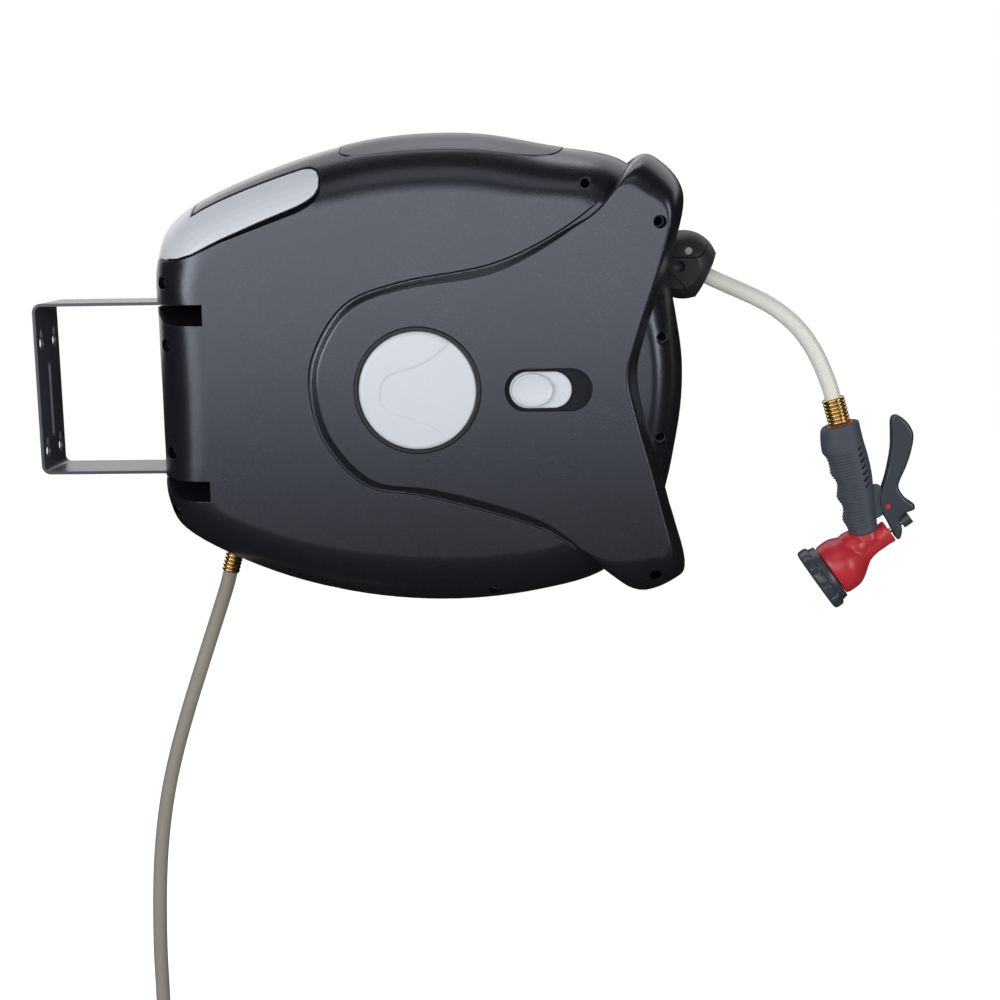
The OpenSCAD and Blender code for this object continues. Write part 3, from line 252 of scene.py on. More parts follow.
def place(piece, matrix):
    """Moves the piece's mesh by a matrix in millimetres."""
    piece.data.transform(scaled_place(matrix))
    face_outwards(piece)
    return piece


def prism_faces(count):
    """Faces of two equal outlines, the second after the first."""
    sides = [(i, (i + 1) % count, count + (i + 1) % count, count + i) for i in range(count)]
    return [tuple(range(count)), tuple(range(count, 2 * count))] + sides


def shade(piece, angle=32, weighted=True):
    """Smooth shading, with edges sharp where they turn by more than an angle in degrees."""
    piece.data.shade_smooth()
    piece.data.set_sharp_from_angle(angle=math.radians(angle))
    if weighted:
        even = piece.modifiers.new("even_shading", "WEIGHTED_NORMAL")
        even.keep_sharp = True
    return piece


def dress(piece, finish, body, slot, *nodes):
    """Gives a piece its material and its body, and hides the CAD nodes that it stands for. The slot
    is not used.
    """
    piece.data.materials.clear()
    piece.data.materials.append(FINISH[finish])
    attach(piece, body)
    if nodes:
        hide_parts(*nodes)
    return piece


def hose(name, route, radius, steps=6, sides=10):
    """A round hose as a curve through the route's points."""
    data = bpy.data.curves.new(name, "CURVE")
    data.dimensions, data.bevel_depth, data.bevel_resolution = "3D", radius, sides
    data.use_fill_caps = True
    line = smooth(route, steps, closed=False)
    spline = data.splines.new("POLY")
    spline.points.add(len(line) - 1)
    spline.points.foreach_set("co", np.c_[line, np.ones(len(line))].astype(np.float32).ravel())
    spline.use_smooth = True
    piece = bpy.data.objects.new(name, data)
    bpy.context.scene.collection.objects.link(piece)
    length = float(np.linalg.norm(np.diff(line, axis=0), axis=1).sum())
    return piece, length


# ---------- materials ----------

PATCHES_PER_METRE = 14
EDGE_RADIUS = 0.0008
ROUGH_CHANGE = 0.2
GROUPS = {}  # the shared effects: grain, tone and edge
FINISH = {}  # the materials, by the names that dress() takes
COOL = (0.78, 0.83, 1.0)  # tint of what the dark plastic reflects


def new_group(name, inputs, outputs):
    """A shader node group from (label, kind, default) inputs and (label, kind) outputs."""
    group = bpy.data.node_groups.new(name, "ShaderNodeTree")
    for label, kind, value in inputs:
        socket = group.interface.new_socket(label, in_out="INPUT", socket_type=kind)
        socket.default_value = value
    for label, kind in outputs:
        group.interface.new_socket(label, in_out="OUTPUT", socket_type=kind)
    return group, group.nodes.new("NodeGroupInput"), group.nodes.new("NodeGroupOutput")


def math_node(tree, operation, first, second, clamp=False):
    """A Math node between two numbers or sockets, and its output."""
    node = tree.nodes.new("ShaderNodeMath")
    node.operation, node.use_clamp = operation, clamp
    for socket, value in zip(node.inputs, (first, second)):
        if isinstance(value, (int, float)):
            socket.default_value = value
        else:
            tree.links.new(value, socket)
    return node.outputs[0]


def grain_group():
    """Fine moulded grain: outputs a height from -1 to 1 for a bump."""
    group, given, made = new_group("Moulded grain", [("Size", "NodeSocketFloat", 1.0)],
                                   [("Height", "NodeSocketFloat")])
    spots = group.nodes.new("ShaderNodeTexCoord")
    scale = math_node(group, "DIVIDE", PER_METRE, given.outputs["Size"])
    cells = group.nodes.new("ShaderNodeTexVoronoi")
    cells.feature = "SMOOTH_F1"
    noise = group.nodes.new("ShaderNodeTexNoise")
    noise.inputs["Detail"].default_value = 3
    for node in (cells, noise):
        group.links.new(spots.outputs["Object"], node.inputs["Vector"])
        group.links.new(scale, node.inputs["Scale"])
    total = math_node(group, "ADD", cells.outputs["Distance"], noise.outputs["Fac"])
    group.links.new(math_node(group, "SUBTRACT", total, 1.0), made.inputs["Height"])
    return group


def tone_group():
    """Slow change of tone over a surface, with faint speckle."""
    inputs = [("Color", "NodeSocketColor", (0.5, 0.5, 0.5, 1)), ("Patches", "NodeSocketFloat", 0.1),
              ("Speckle", "NodeSocketFloat", 0.1), ("Speckle size", "NodeSocketFloat", 2.0)]
    outputs = [("Color", "NodeSocketColor"), ("Value", "NodeSocketFloat")]
    group, given, made = new_group("Uneven tone", inputs, outputs)
    spots = group.nodes.new("ShaderNodeTexCoord")
    patches = group.nodes.new("ShaderNodeTexNoise")
    patches.inputs["Scale"].default_value = PATCHES_PER_METRE
    patches.inputs["Detail"].default_value = 4
    specks = group.nodes.new("ShaderNodeTexNoise")
    specks.inputs["Detail"].default_value = 2
    scale = math_node(group, "DIVIDE", PER_METRE, given.outputs["Speckle size"])
    group.links.new(scale, specks.inputs["Scale"])
    shares = []
    for node, strength in ((patches, "Patches"), (specks, "Speckle")):
        group.links.new(spots.outputs["Object"], node.inputs["Vector"])
        level = math_node(group, "SUBTRACT", node.outputs["Fac"], 0.5)
        shares.append(math_node(group, "MULTIPLY", level, given.outputs[strength]))
    both = math_node(group, "MULTIPLY", math_node(group, "ADD", *shares), 2.0)
    bright = group.nodes.new("ShaderNodeHueSaturation")
    group.links.new(given.outputs["Color"], bright.inputs["Color"])
    group.links.new(math_node(group, "ADD", both, 1.0), bright.inputs["Value"])
    group.links.new(bright.outputs["Color"], made.inputs["Color"])
    group.links.new(both, made.inputs["Value"])
    return group


def edge_group():
    """Rounded edges: a normal that turns softly over an edge, and a mask of where it does, which
    places a painted highlight.
    """
    group, given, made = new_group("Soft edge", [("Wear", "NodeSocketFloat", 1.0)],
                                   [("Normal", "NodeSocketVector"), ("Mask", "NodeSocketFloat")])
    soft = group.nodes.new("ShaderNodeBevel")
    soft.samples = 6
    soft.inputs["Radius"].default_value = EDGE_RADIUS
    real = group.nodes.new("ShaderNodeNewGeometry")
    turn = group.nodes.new("ShaderNodeVectorMath")
    turn.operation = "DOT_PRODUCT"
    group.links.new(soft.outputs["Normal"], turn.inputs[0])
    group.links.new(real.outputs["Normal"], turn.inputs[1])
    bend = math_node(group, "SUBTRACT", 1.0, turn.outputs["Value"])
    strong = math_node(group, "MULTIPLY", bend, 4.0)
    mask = math_node(group, "MULTIPLY", strong, given.outputs["Wear"], clamp=True)
    group.links.new(soft.outputs["Normal"], made.inputs["Normal"])
    group.links.new(mask, made.inputs["Mask"])
    return group


def place_group(tree, name, **values):
    """Puts a shared effect into a material, with its inputs by name."""
    node = tree.nodes.new("ShaderNodeGroup")
    node.node_tree = GROUPS[name]
    for label, value in values.items():
        node.inputs[label.replace("_", " ")].default_value = value
    return node


def new_finish(name, color, roughness, patches=0.1, speckle=0.1, speckle_size=2.0, grain=1.0,
               depth=0.05, edge_highlight=0.5, highlight_color=None, metallic=0.0, coat=0.0, specular=0.5,
               tint=(1, 1, 1)):
    """A plastic, rubber, painted or metal finish from the shared groups.

    The grain, its depth and the speckle's size are in millimetres. A painted highlight lightens
    the edges' colour; with none the edges stay as they are.
    """
    material = bpy.data.materials.new(name)
    material.use_nodes = True
    tree = material.node_tree
    shader = tree.nodes["Principled BSDF"]
    tone = place_group(tree, "tone", Color=(*color, 1), Patches=patches, Speckle=speckle,
                       Speckle_size=speckle_size)
    base = tone.outputs["Color"]
    if edge_highlight:
        edge = place_group(tree, "edge", Wear=edge_highlight)
        # painted highlight: over the soft-edge mask the colour turns lighter than the base
        mix = tree.nodes.new("ShaderNodeMix")
        mix.data_type = "RGBA"
        factor, plain, highlighted, mixed = mix.inputs[0], mix.inputs[6], mix.inputs[7], mix.outputs[2]
        highlighted.default_value = (*(highlight_color or (min(1, c * 1.8 + 0.02) for c in color)), 1)
        tree.links.new(edge.outputs["Mask"], factor)
        tree.links.new(base, plain)
        base = mixed
    tree.links.new(base, shader.inputs["Base Color"])
    rough = math_node(tree, "MULTIPLY", tone.outputs["Value"], ROUGH_CHANGE)
    tree.links.new(math_node(tree, "ADD", rough, roughness, clamp=True), shader.inputs["Roughness"])
    bump = tree.nodes.new("ShaderNodeBump")
    bump.inputs["Distance"].default_value = depth * MM
    bump.inputs["Strength"].default_value = 1.0
    tree.links.new(place_group(tree, "grain", Size=grain).outputs["Height"], bump.inputs["Height"])
    if edge_highlight:
        tree.links.new(edge.outputs["Normal"], bump.inputs["Normal"])
    tree.links.new(bump.outputs["Normal"], shader.inputs["Normal"])
    shader.inputs["Metallic"].default_value = metallic
    shader.inputs["Coat Weight"].default_value = coat
    shader.inputs["Coat Roughness"].default_value = 0.15
    shader.inputs["Specular IOR Level"].default_value = specular
    shader.inputs["Specular Tint"].default_value = (*tint, 1)
    return material


def make_finishes(chosen):
    """Builds the shared groups and every material."""
    GROUPS.update(grain=grain_group(), tone=tone_group(), edge=edge_group())
    casing, light, hose_color, inlet_color, red = (tuple(color) for color in (
        chosen.casing_color, chosen.light_color, chosen.hose_color, chosen.inlet_color,
        chosen.gun_color))
    # edge_highlight and highlight_color set each finish's painted highlight along its edges
    FINISH.update({
        "casing": new_finish("casing_plastic", casing, 0.29, patches=0.10, speckle=0.22,
                             speckle_size=2.6, grain=1.1, specular=0.9, edge_highlight=0.35, tint=COOL),
        "panel": new_finish("panel_plastic", tuple(c * 1.5 for c in casing), 0.36, grain=0.8,
                            depth=0.02, specular=0.9, tint=COOL),
        # painted shade: the casing's colour with less sheen, so that the recesses render darker
        "recess": new_finish("recess_shade_plastic", casing, 0.6, specular=0.3, tint=COOL),
        "light": new_finish("light_plastic", light, 0.33, patches=0.03, speckle=0.03, grain=0.9,
                            depth=0.012, highlight_color=(0.86, 0.88, 0.92)),
        "black": new_finish("black_plastic", (0.012, 0.012, 0.014), 0.38, grain=0.8, depth=0.02,
                            specular=0.4),
        "ball": new_finish("ball_plastic", (0.022, 0.023, 0.026), 0.45, grain=0.8, depth=0.03,
                           specular=0.45),
        "natural": new_finish("natural_plastic", (0.62, 0.60, 0.52), 0.4),
        "bracket": new_finish("bracket_paint", (0.045, 0.052, 0.066), 0.38, patches=0.12,
                              speckle=0.08, grain=1.6, depth=0.03, highlight_color=(0.12, 0.13, 0.15),
                              coat=0.15),
        "steel": new_finish("steel", (0.62, 0.63, 0.65), 0.3, metallic=1.0, grain=0.5, depth=0.006),
        "dark_screw": new_finish("dark_screw", (0.004, 0.004, 0.004), 0.7, depth=0.01,
                                 specular=0.2),
        "screw": new_finish("screw_steel", (0.22, 0.23, 0.25), 0.42, metallic=1.0, depth=0.002,
                            edge_highlight=0),
        "brass": new_finish("brass", (0.80, 0.56, 0.24), 0.27, metallic=1.0, patches=0.06,
                            speckle=0.03, depth=0.001, edge_highlight=0),
        "seal": new_finish("seal_rubber", (0.01, 0.01, 0.01), 0.6),
        "washer": new_finish("washer_rubber", (0.55, 0.16, 0.06), 0.5, highlight_color=(0.6, 0.2, 0.1)),
        "hose": new_finish("hose_plastic", hose_color, 0.34, patches=0.04, speckle=0.03,
                           depth=0.005, grain=2.5, edge_highlight=0),
        "inlet": new_finish("inlet_plastic", inlet_color, 0.42, speckle=0.05, depth=0.02,
                            grain=2.5, specular=0.4, edge_highlight=0),
        "grip": new_finish("grip_rubber", (0.062, 0.072, 0.094), 0.55, patches=0.08,
                           speckle_size=1.0, grain=0.6, depth=0.03, specular=0.35),
        "red": new_finish("gun_red", red, 0.36, patches=0.04, speckle=0.02, depth=0.002,
                          coat=0.08, edge_highlight=0),
        "gun": new_finish("gun_plastic", (0.040, 0.049, 0.062), 0.33, depth=0.01, speckle=0.05,
                          highlight_color=(0.12, 0.14, 0.17), edge_highlight=0.8),
        "spray": new_finish("spray_plate", (0.012, 0.012, 0.013), 0.3, depth=0.01),
    })


# CAD nodes that keep their own shape, with the finish of each
KEPT = {
    "bracket": ["wall_bracket"],
    "black": ["pivot_bushes", "hub_ring", "slider_link", "drum_core", "near_flange", "far_flange",
              "outlet_frame", "coil_tie", "spring_cover"],
    "gun": ["roller_top", "roller_bottom", "roller_near", "roller_far", "flow_knob"],
    "natural": ["drum_bush"],
    "steel": ["pivot_pins", "handle_pins", "pawl", "pawl_pin", "pawl_spring", "drum_axle",
              "axle_nut", "flange_screws", "ratchet_wheel", "mainspring", "roller_pins",
              "valve_stem"],
    "screw": ["stop_ball_screw"],
    "dark_screw": ["casing_screws"],
    "brass": ["swivel_body", "swivel_sleeve", "hose_tail", "inlet_gland", "tap_connector"],
    "seal": ["swivel_seals"],
    "washer": ["hose_washer"],
    "red": ["trigger_pin"],
    "spray": ["dial_face"],
    "inlet": ["inlet_pipe"],
}


# ---------- routes of the hoses, in metres ----------

LEADER = [
    (0.436, 0, 0.1875), (0.470, 0, 0.1778), (0.505, 0, 0.1678), (0.540, 0, 0.1578),
    (0.570, 0, 0.1492), (0.588, 0, 0.1441), (0.598, 0, 0.141), (0.607, 0, 0.1372),
    (0.616, 0, 0.1328), (0.628, 0, 0.127), (0.640, 0, 0.1212), (0.652, 0, 0.1154),
    (0.663, 0, 0.1101), (0.675, 0, 0.1044), (0.687, 0, 0.099), (0.699, 0, 0.0936),
    (0.711, 0, 0.088), (0.721, 0, 0.0826), (0.731, 0, 0.0764), (0.740, 0, 0.0696),
    (0.7485, 0, 0.062), (0.756, 0, 0.0538), (0.7627, 0, 0.045), (0.7686, 0, 0.0356),
    (0.7738, 0, 0.0258), (0.7784, 0, 0.0158), (0.7824, 0, 0.0058), (0.7855, 0, -0.0024),
    (0.7884, 0, -0.0126)]
INLET = [
    (0.1714, 0.03, -0.1905), (0.1667, 0.03, -0.2068), (0.1568, 0.03, -0.235), (0.146, 0.03, -0.265),
    (0.1346, 0.03, -0.297), (0.123, 0.03, -0.33), (0.1124, 0.03, -0.362), (0.103, 0.03, -0.393),
    (0.095, 0.03, -0.424), (0.0886, 0.03, -0.455), (0.0836, 0.03, -0.487), (0.080, 0.03, -0.519),
    (0.0776, 0.03, -0.551), (0.076, 0.03, -0.584), (0.075, 0.03, -0.617), (0.075, 0.03, -0.652),
    (0.075, 0.03, -0.688), (0.075, 0.03, -0.724), (0.075, 0.03, -0.757)]
COIL_ENTRY = (0.075, 0.03, -0.79)
COIL_MIDDLE = Vector((0.1575, 0.03, -0.805))
COIL_RADIUS = 0.0825
COIL_TURNS = 3
COIL_PITCH = 0.0156
COIL_OUT = 0.012  # how far the last half turn moves on, clear of the others
COIL_LEAD = 0.015  # straight end, into the tap connector
RINGS = 24  # points of each turn


def coil_point(turn):
    """A point of the stored turns, from their start, in turns."""
    out = COIL_OUT * float(ramp(COIL_TURNS - 0.5, COIL_TURNS, turn))
    angle = 2 * math.pi * turn
    return (COIL_MIDDLE.x - COIL_RADIUS * math.cos(angle), COIL_MIDDLE.y + COIL_PITCH * turn + out,
            COIL_MIDDLE.z - COIL_RADIUS * math.sin(angle))


def inlet_route():
    """The inlet hose's points: down from the casing, round its turns and into the connector."""
    last = coil_point(COIL_TURNS)
    turns = [coil_point(i / RINGS) for i in range(RINGS * COIL_TURNS + 1)]
    return INLET + [COIL_ENTRY] + turns + [(last[0], last[1], last[2] - COIL_LEAD)]


# ---------- hose stop: values in millimetres about its middle ----------

BALL = 33.5
BALL_FLAT = 26.8  # how far the flats are from the middle
HOSE_BORE = 8.1
FLAT_WAY = Vector((-5, -24.4, -2.6))  # which way the near flat faces
SCREW_HOLE = (4, 14)
DIMPLE = (-5.6, -30.6, -1.5)
SPLIT_HALF = 0.45  # half the width of a split line
SPLIT_LINES = [
    [(-34, 9), (-20, 8.6), (-11.6, 8), (-1, 7.8), (6.3, 7), (12.8, 8.2), (16.4, 10), (20, 14),
     (24, 22)],
    [(-34, -2), (-22, -4.4), (-15.7, -6.9), (-10.2, -10.6), (-4.2, -16.2), (-1, -20.4),
     (0.4, -24.1), (2.3, -29.6), (4, -36)]]


# ---------- casing, handle, hub cap and lock: values in millimetres about the drum axis ----------

OUTLINE = [
    (-257, -60), (-255, -112), (-232, -147), (-150, -187), (-60, -210), (30, -216), (115, -206),
    (180, -184), (226, -130), (246, -50), (251, 10), (245, 62), (233, 122), (218, 180), (190, 211),
    (125, 224), (45, 237), (-50, 232), (-150, 204), (-230, 166), (-255, 122), (-257, 60), (-257, 0)]
# X, Z and how much the wall leans in there
CHEEK = [
    (207, 212.5, 2.4), (175, 175, 1.2), (130, 142, 0.4), (70, 115, 0.25), (-14, 100, 0.25),
    (-66, 80, 0.25), (-96, 36, 0.25), (-101, -5, 0.25), (-88, -50, 0.25), (-50, -90, 0.25),
    (9, -101, 0.25), (103, -128, 0.3), (146, -152, 0.35), (178, -184, 2), (209, -204, 3.4),
    (242, -193, 3), (252.5, -174, 2), (236, -113, 1.2), (217, -35, 1.1), (209, 11, 1.1),
    (217, 52, 1.1), (242, 130, 1.6), (250, 178, 1.9), (231, 206, 2.6)]
CHEEK_FOOT = (178, -184, 2)  # where the S line ends
CHEEK_MIDDLE = np.array((84, 0))
SCREWS = [
    (158, 188), (226, 152), (230, 43), (228, -53), (-241, 102), (-241, 43), (-240, -60),
    (-240, -117), (-90, -196), (68, -197), (222, -180)]
HALF = 115  # how far out a side's flat is
FACE = 117  # how far out the raised side panel's face is
WALL = 3
SHOULDER_IN, SHOULDER_BACK = 55, 80  # how much the shoulder takes off the outline and the side
NOSE_SHARE, NOSE_STEP = 0.6, 23  # share of that off the outline round the nose, and its step back
NOSE_SHELF, NOSE_RISE = 30, 14  # widths of the shelf there, and of the slope behind it
DETAIL = 6  # points of an outline for each one in its list
SEAM = 0.6  # how far the halves' edges draw in where they meet
LIP = 9  # width of the soft step along the S line
PANEL = 1.5
HUB = 59.7
RIDGE = -86  # where the handle's arm meets its ridge, in Y
SCREW_WELL, SCREW_POST = 6, 8.2  # radii
AXLE_BORE, AXLE_POST = 9, 17
MOUTH, MOUTH_HEIGHT = 34, 131  # radius of the hose's way out, and its height
FRAME_OUT, FRAME_BACK, FRAME_FRONT = 28.36, 186, 215.5  # room of the frame of guide rollers
ARM_HEIGHTS = (-73, 94)  # of the bracket's arms, above the origin
ARM_ROOM_UP, ARM_ROOM_DOWN = 1.2, 3.3  # the slot over and under an arm's height
ARM_DROP, ARM_DEEP = 19.5, 186  # its height at the side, and how far from the wall it ends
HANDLE_LOW = [
    (-262, 127), (-239, 124), (-223, 125), (-208, 129), (-181, 142), (-145, 157), (-109, 171)]
HANDLE_END = [(-99, 176), (-92, 181), (-88, 188), (-88, 197), (-91, 203), (-97, 205.5)]
HANDLE_HIGH = [(-108, 205), (-144, 196), (-179, 181), (-200, 170), (-213, 163)]
CROSS_BAR = [(-213, 127.7), (-213, 300), (-300, 300), (-300, 127), (-262, 127), (-239, 124),
             (-223, 125)]
BAR_DEEP = 15.6  # thickness of the handle's cross bar
POCKET_GAP, POCKET_FOOT = 1.8, 4.2  # room round the folded handle, and more under its ends
CAP, CAP_EDGE, CAP_RAISED = 55.5, 2.2, 0.8  # radius, rounding of the rim, height of the field
CAP_CURVE = [
    (33, 47), (28.4, 41.9), (22.7, 37.1), (13.1, 29.5), (1.7, 23.8), (-7.8, 20.5), (-18.3, 18.1),
    (-26.8, 14.3), (-32.6, 7.6), (-34.9, -1), (-34.5, -8.6), (-30.7, -15.2), (-23, -20.9),
    (-13.5, -24.3), (-2.1, -27.6), (9.3, -31.9), (17.9, -37.1), (23.6, -42.4), (27.4, -46.6),
    (31, -52)]
LOCK_AT = (115, -1)
SLIDER = (58, 34)
# (inset, depth below the face) over the rims of the slider's plate and of its thumb oval
PLATE_RIM = [(0, 4.8), (0, 3.0), (0.4, 2.6), (1.2, 2.4), (1.5, 2.9), (2.0, 3.0)]
BUTTON_RIM = [(0, 3.6), (0, 0.8), (0.3, -0.6), (1.1, -1.3), (2.0, -1.2), (2.7, -0.5), (4.5, -0.1),
              (9, 0.3), (13, 0.4)]
LOCK_ROOM_AT, LOCK_ROOM, LOCK_ROOM_DEEP = (122.5, -1), (82, 40), 5
LOCK_SLOT_AT, LOCK_SLOT = (125, -1), (30, 10)
HUB_ROOM_DEEP = 9
TOP_PANEL = [
    (137, 2), (137, -56), (120, -84), (60, -93), (-30, -93), (-66, -84), (-72, -60), (-72, 2)]

# ---------- spray gun: values in millimetres ----------

# The grip's sides and depth go by the distance below its top, and the trigger is in X and Z.
GRIP = 112
GRIP_SIDES = 96
HOSE_SIDE = [
    (0, -18.5), (3, -20.3), (6, -21.3), (12, -22.5), (18, -23.3), (24, -23.6), (26.5, -22.8),
    (28.5, -21.8), (31, -20.8), (35, -20.1), (41, -19.9), (44, -20.3), (47, -20.5), (50, -19.5),
    (54, -17.3), (57, -16.5), (60, -16.4), (63, -16.9), (66, -17.8), (69, -18.9), (72, -19.6),
    (75.7, -18.5), (79.4, -16.6), (82, -16), (85, -15.9), (88.5, -16.6), (91.7, -17.8),
    (94.5, -18.8), (97.8, -18.6), (101, -17.2), (105, -16), (110, -15.4), (114, -15.3)]
TRIGGER_SIDE = [
    (0, 18.5), (12, 18.5), (22, 18.8), (28, 19.3), (35, 19.8), (44, 20), (54, 19.8), (60, 19.3),
    (66, 18.6), (72, 17.8), (78, 16.8), (84, 16), (94, 15), (102, 14.3), (108, 13.9), (114, 13.8)]
GRIP_DEPTHS = [(0, 18.5), (20, 18.4), (60, 17.2), (112, 16.6)]
GRIP_POWER = 0.92  # 1 is a round section, and less a squarer one
RIB_PITCH, RIB_WAVE, RIB_SUNK = 3.1, 0.55, 0.58
SLITS, SLIT, SLIT_TILT = 7, (12.5, 2.2), -34
SLIT_AT, SLIT_STEP = (14.8, -24), (0.12, 6.4)  # middle of the first, and way on to the next
LUG = 5
LUG_CORNERS = [(843.7, -121, 6), (833, -106, 6), (833, -130, 4)]  # X, Z and radius
LUG_RIM = [(1.2, -LUG), (0.3, -LUG + 0.35), (0, -LUG + 1.2), (0, LUG - 1.2), (0.3, LUG - 0.35),
           (1.2, LUG)]
BODY = [
    (26.8, 18.6), (27.7, 22), (28, 26), (27.7, 33), (26, 39), (22.5, 45), (18, 51), (14, 57),
    (11.9, 65), (11.5, 73)]
BARREL = [(11.5, 84), (11.9, 85), (12.1, 87), (11.9, 89), (8.6, 89), (8.6, 82), (0, 82)]
NECK = [(0, -GRIP - 22), (10, -GRIP - 20), (15.2, -GRIP - 8), (14.6, -GRIP), (13.4, -GRIP + 4),
        (10, -GRIP + 5), (10, -2.6), (5, -2.6), (5, -30), (0, -30)]
SADDLE, SADDLE_SQUASH = 19, (0.86, 0.95, 1.0, 1.0)
DIAL = [  # radius, height and how much of a valley's depth it takes
    (26, 4, 0), (26, 0.8, 0), (26.7, 0.05, 0), (30.4, 0, 0.5), (32.2, 0.5, 0.9), (33.5, 1.7, 1),
    (34, 3.5, 1), (34, 8, 1), (33.6, 9.8, 1), (32.6, 11, 0.8), (31.2, 11.7, 0.3), (30.6, 12, 0),
    (30.5, 12.5, 0), (29.6, 17.4, 0), (28.9, 18.1, 0), (27, 18.3, 0)]
LOBES = 12
VALLEY_DEEP, VALLEY_WIDE = 2.3, 0.16
TRIGGER_FLAT, TRIGGER_ROUND = 4.3, 4.2  # half the lever's flat width, and its rounded edges
CHANNEL, CHANNEL_SHIFT = 5.5, (-3.4, -3.4)  # half the channel's width, and which way it opens
TRIGGER = [
    (846, -34), (851, -30), (858.5, -34), (865, -42), (868, -51), (866, -66), (861.4, -81.5),
    (855.2, -96.5), (855, -104), (861.3, -113), (869.8, -119), (870.5, -125), (861.4, -129),
    (856.6, -136), (859, -144), (858, -153), (854.6, -155.4), (851.6, -151.6), (846.5, -141),
    (839.5, -128), (836.3, -112), (842, -89), (846, -64.5), (846, -48)]


# ---------- sizes and colours that a user would change ----------


class HoseReelSettings(bpy.types.PropertyGroup):
    """Colours of the reel and diameters of its hoses"""

    casing_color: bpy.props.FloatVectorProperty(
        name="Casing", description="Colour of the casing's plastic",
        subtype="COLOR", default=(0.0095, 0.01, 0.0125), min=0, max=1)
    light_color: bpy.props.FloatVectorProperty(
        name="Light parts", description="Colour of the handle, the hub cap and the slider",
        subtype="COLOR", default=(0.62, 0.655, 0.71), min=0, max=1)
    hose_color: bpy.props.FloatVectorProperty(
        name="Hose", description="Colour of the hose on the drum",
        subtype="COLOR", default=(0.80, 0.79, 0.72), min=0, max=1)
    inlet_color: bpy.props.FloatVectorProperty(
        name="Inlet hose", description="Colour of the inlet hose",
        subtype="COLOR", default=(0.30, 0.275, 0.235), min=0, max=1)
    gun_color: bpy.props.FloatVectorProperty(
        name="Spray gun", description="Colour of the spray gun's body",
        subtype="COLOR", default=(0.50, 0.022, 0.034), min=0, max=1)
    hose_diameter: bpy.props.FloatProperty(
        name="Hose diameter", description="Outside diameter of the hose",
        subtype="DISTANCE", unit="LENGTH", default=0.016, min=0.012, max=0.02)
    inlet_diameter: bpy.props.FloatProperty(
        name="Inlet diameter", description="Outside diameter of the inlet hose",
        subtype="DISTANCE", unit="LENGTH", default=0.015, min=0.012, max=0.018)


def settings():
    """The sizes and colours of this scene's reel."""
    return bpy.context.scene.hose_reel


# ---------- camera and hoses ----------

LENS, SENSOR = 61.2, 36
CAMERA_AT = (0.5357, -1.6918, 0.1923)
CAMERA_TURN, CAMERA_FALL, CAMERA_ROLL = 2.7, 10.2, 1.0  # degrees
AT_BALL = Matrix.Translation((640, 0, 121.2)) @ Matrix.Rotation(math.radians(115.8), 4, "Y")
AT_COUPLING = Matrix.Translation((788.4, 0, -12.6)) @ Matrix.Rotation(math.radians(164.3), 4, "Y")
AT_INLET = Matrix.Translation((171.4, 30, -190.5)) @ Matrix.Rotation(math.radians(16), 4, "Y")
SLEEVE_BORE, SLEEVE_IN, SLEEVE_OUT = 4, 0.9, 0.5


def ferrule(name, radius, length, ribs, matrix, node):
    """A ribbed brass sleeve."""
    low, high, steps = radius - SLEEVE_IN, radius + SLEEVE_OUT, 10
    profile = [(SLEEVE_BORE, 0), (low, 0)]
    for k in range(1, ribs * steps):
        proud = abs(math.sin(math.pi * k / steps)) ** 0.7
        profile.append((low + (high - low) * proud, length * k / (ribs * steps)))
    profile += [(low, length), (SLEEVE_BORE, length), (SLEEVE_BORE, 0)]
    sleeve = shade(lathe(name, profile, 64, matrix), 50, False)
    return dress(sleeve, "brass", "reel_casing", "brass", node)


def hose_stop():
    """The split ball on the hose: each side has a flat, split lines, a screw hole and a dimple."""
    turn = np.radians(np.linspace(-76, 43.3, 40))
    profile = [(HOSE_BORE, -32.5)] + [(BALL * math.cos(t), BALL * math.sin(t)) for t in turn]
    profile += [(24, 24), (19, 25), (HOSE_BORE, 25), (HOSE_BORE, -32.5)]
    ball = place(lathe("hose_stop", profile, 96), AT_BALL)
    middle = Vector(AT_BALL.translation)
    out = FLAT_WAY.normalized()
    at_flat = Matrix.Translation(middle + out * BALL_FLAT)
    at_flat = at_flat @ Vector((0, 0, 1)).rotation_difference(out).to_matrix().to_4x4()
    cutters = [place(lathe("flat", [(0, 0), (30, 0), (30, 20), (0, 20)], 64), at_flat)]
    for line in SPLIT_LINES:
        line = smooth(line, 6, closed=False)
        along = np.gradient(line, axis=0)
        across = np.stack([-along[:, 1], along[:, 0]], 1)
        across = across / np.linalg.norm(along, axis=1)[:, None] * SPLIT_HALF
        outline = np.vstack([line + across, (line - across)[::-1]]) + (middle.x, middle.z)
        cutters.append(slab("split", outline, -60, -12))
    centre = (middle.x + SCREW_HOLE[0], middle.z + SCREW_HOLE[1])
    cutters.append(rod("screw_hole", 4.7, -60, -25.6, centre, 32))
    turn = np.linspace(-math.pi / 2, math.pi / 2, 17)
    cutters.append(place(lathe("dimple", [(7 * math.cos(t), 7 * math.sin(t)) for t in turn], 32),
                         Matrix.Translation(middle + Vector(DIMPLE))))
    for near in cutters:
        far = mirrored(near)
        shape(ball, near)
        shape(ball, far)
    round_edges(ball, 0.5, 2, 24)
    return dress(shade(ball, 30), "ball", "reel_casing", "black_plastic",
                 "stop_ball", "stop_ball_clamp")


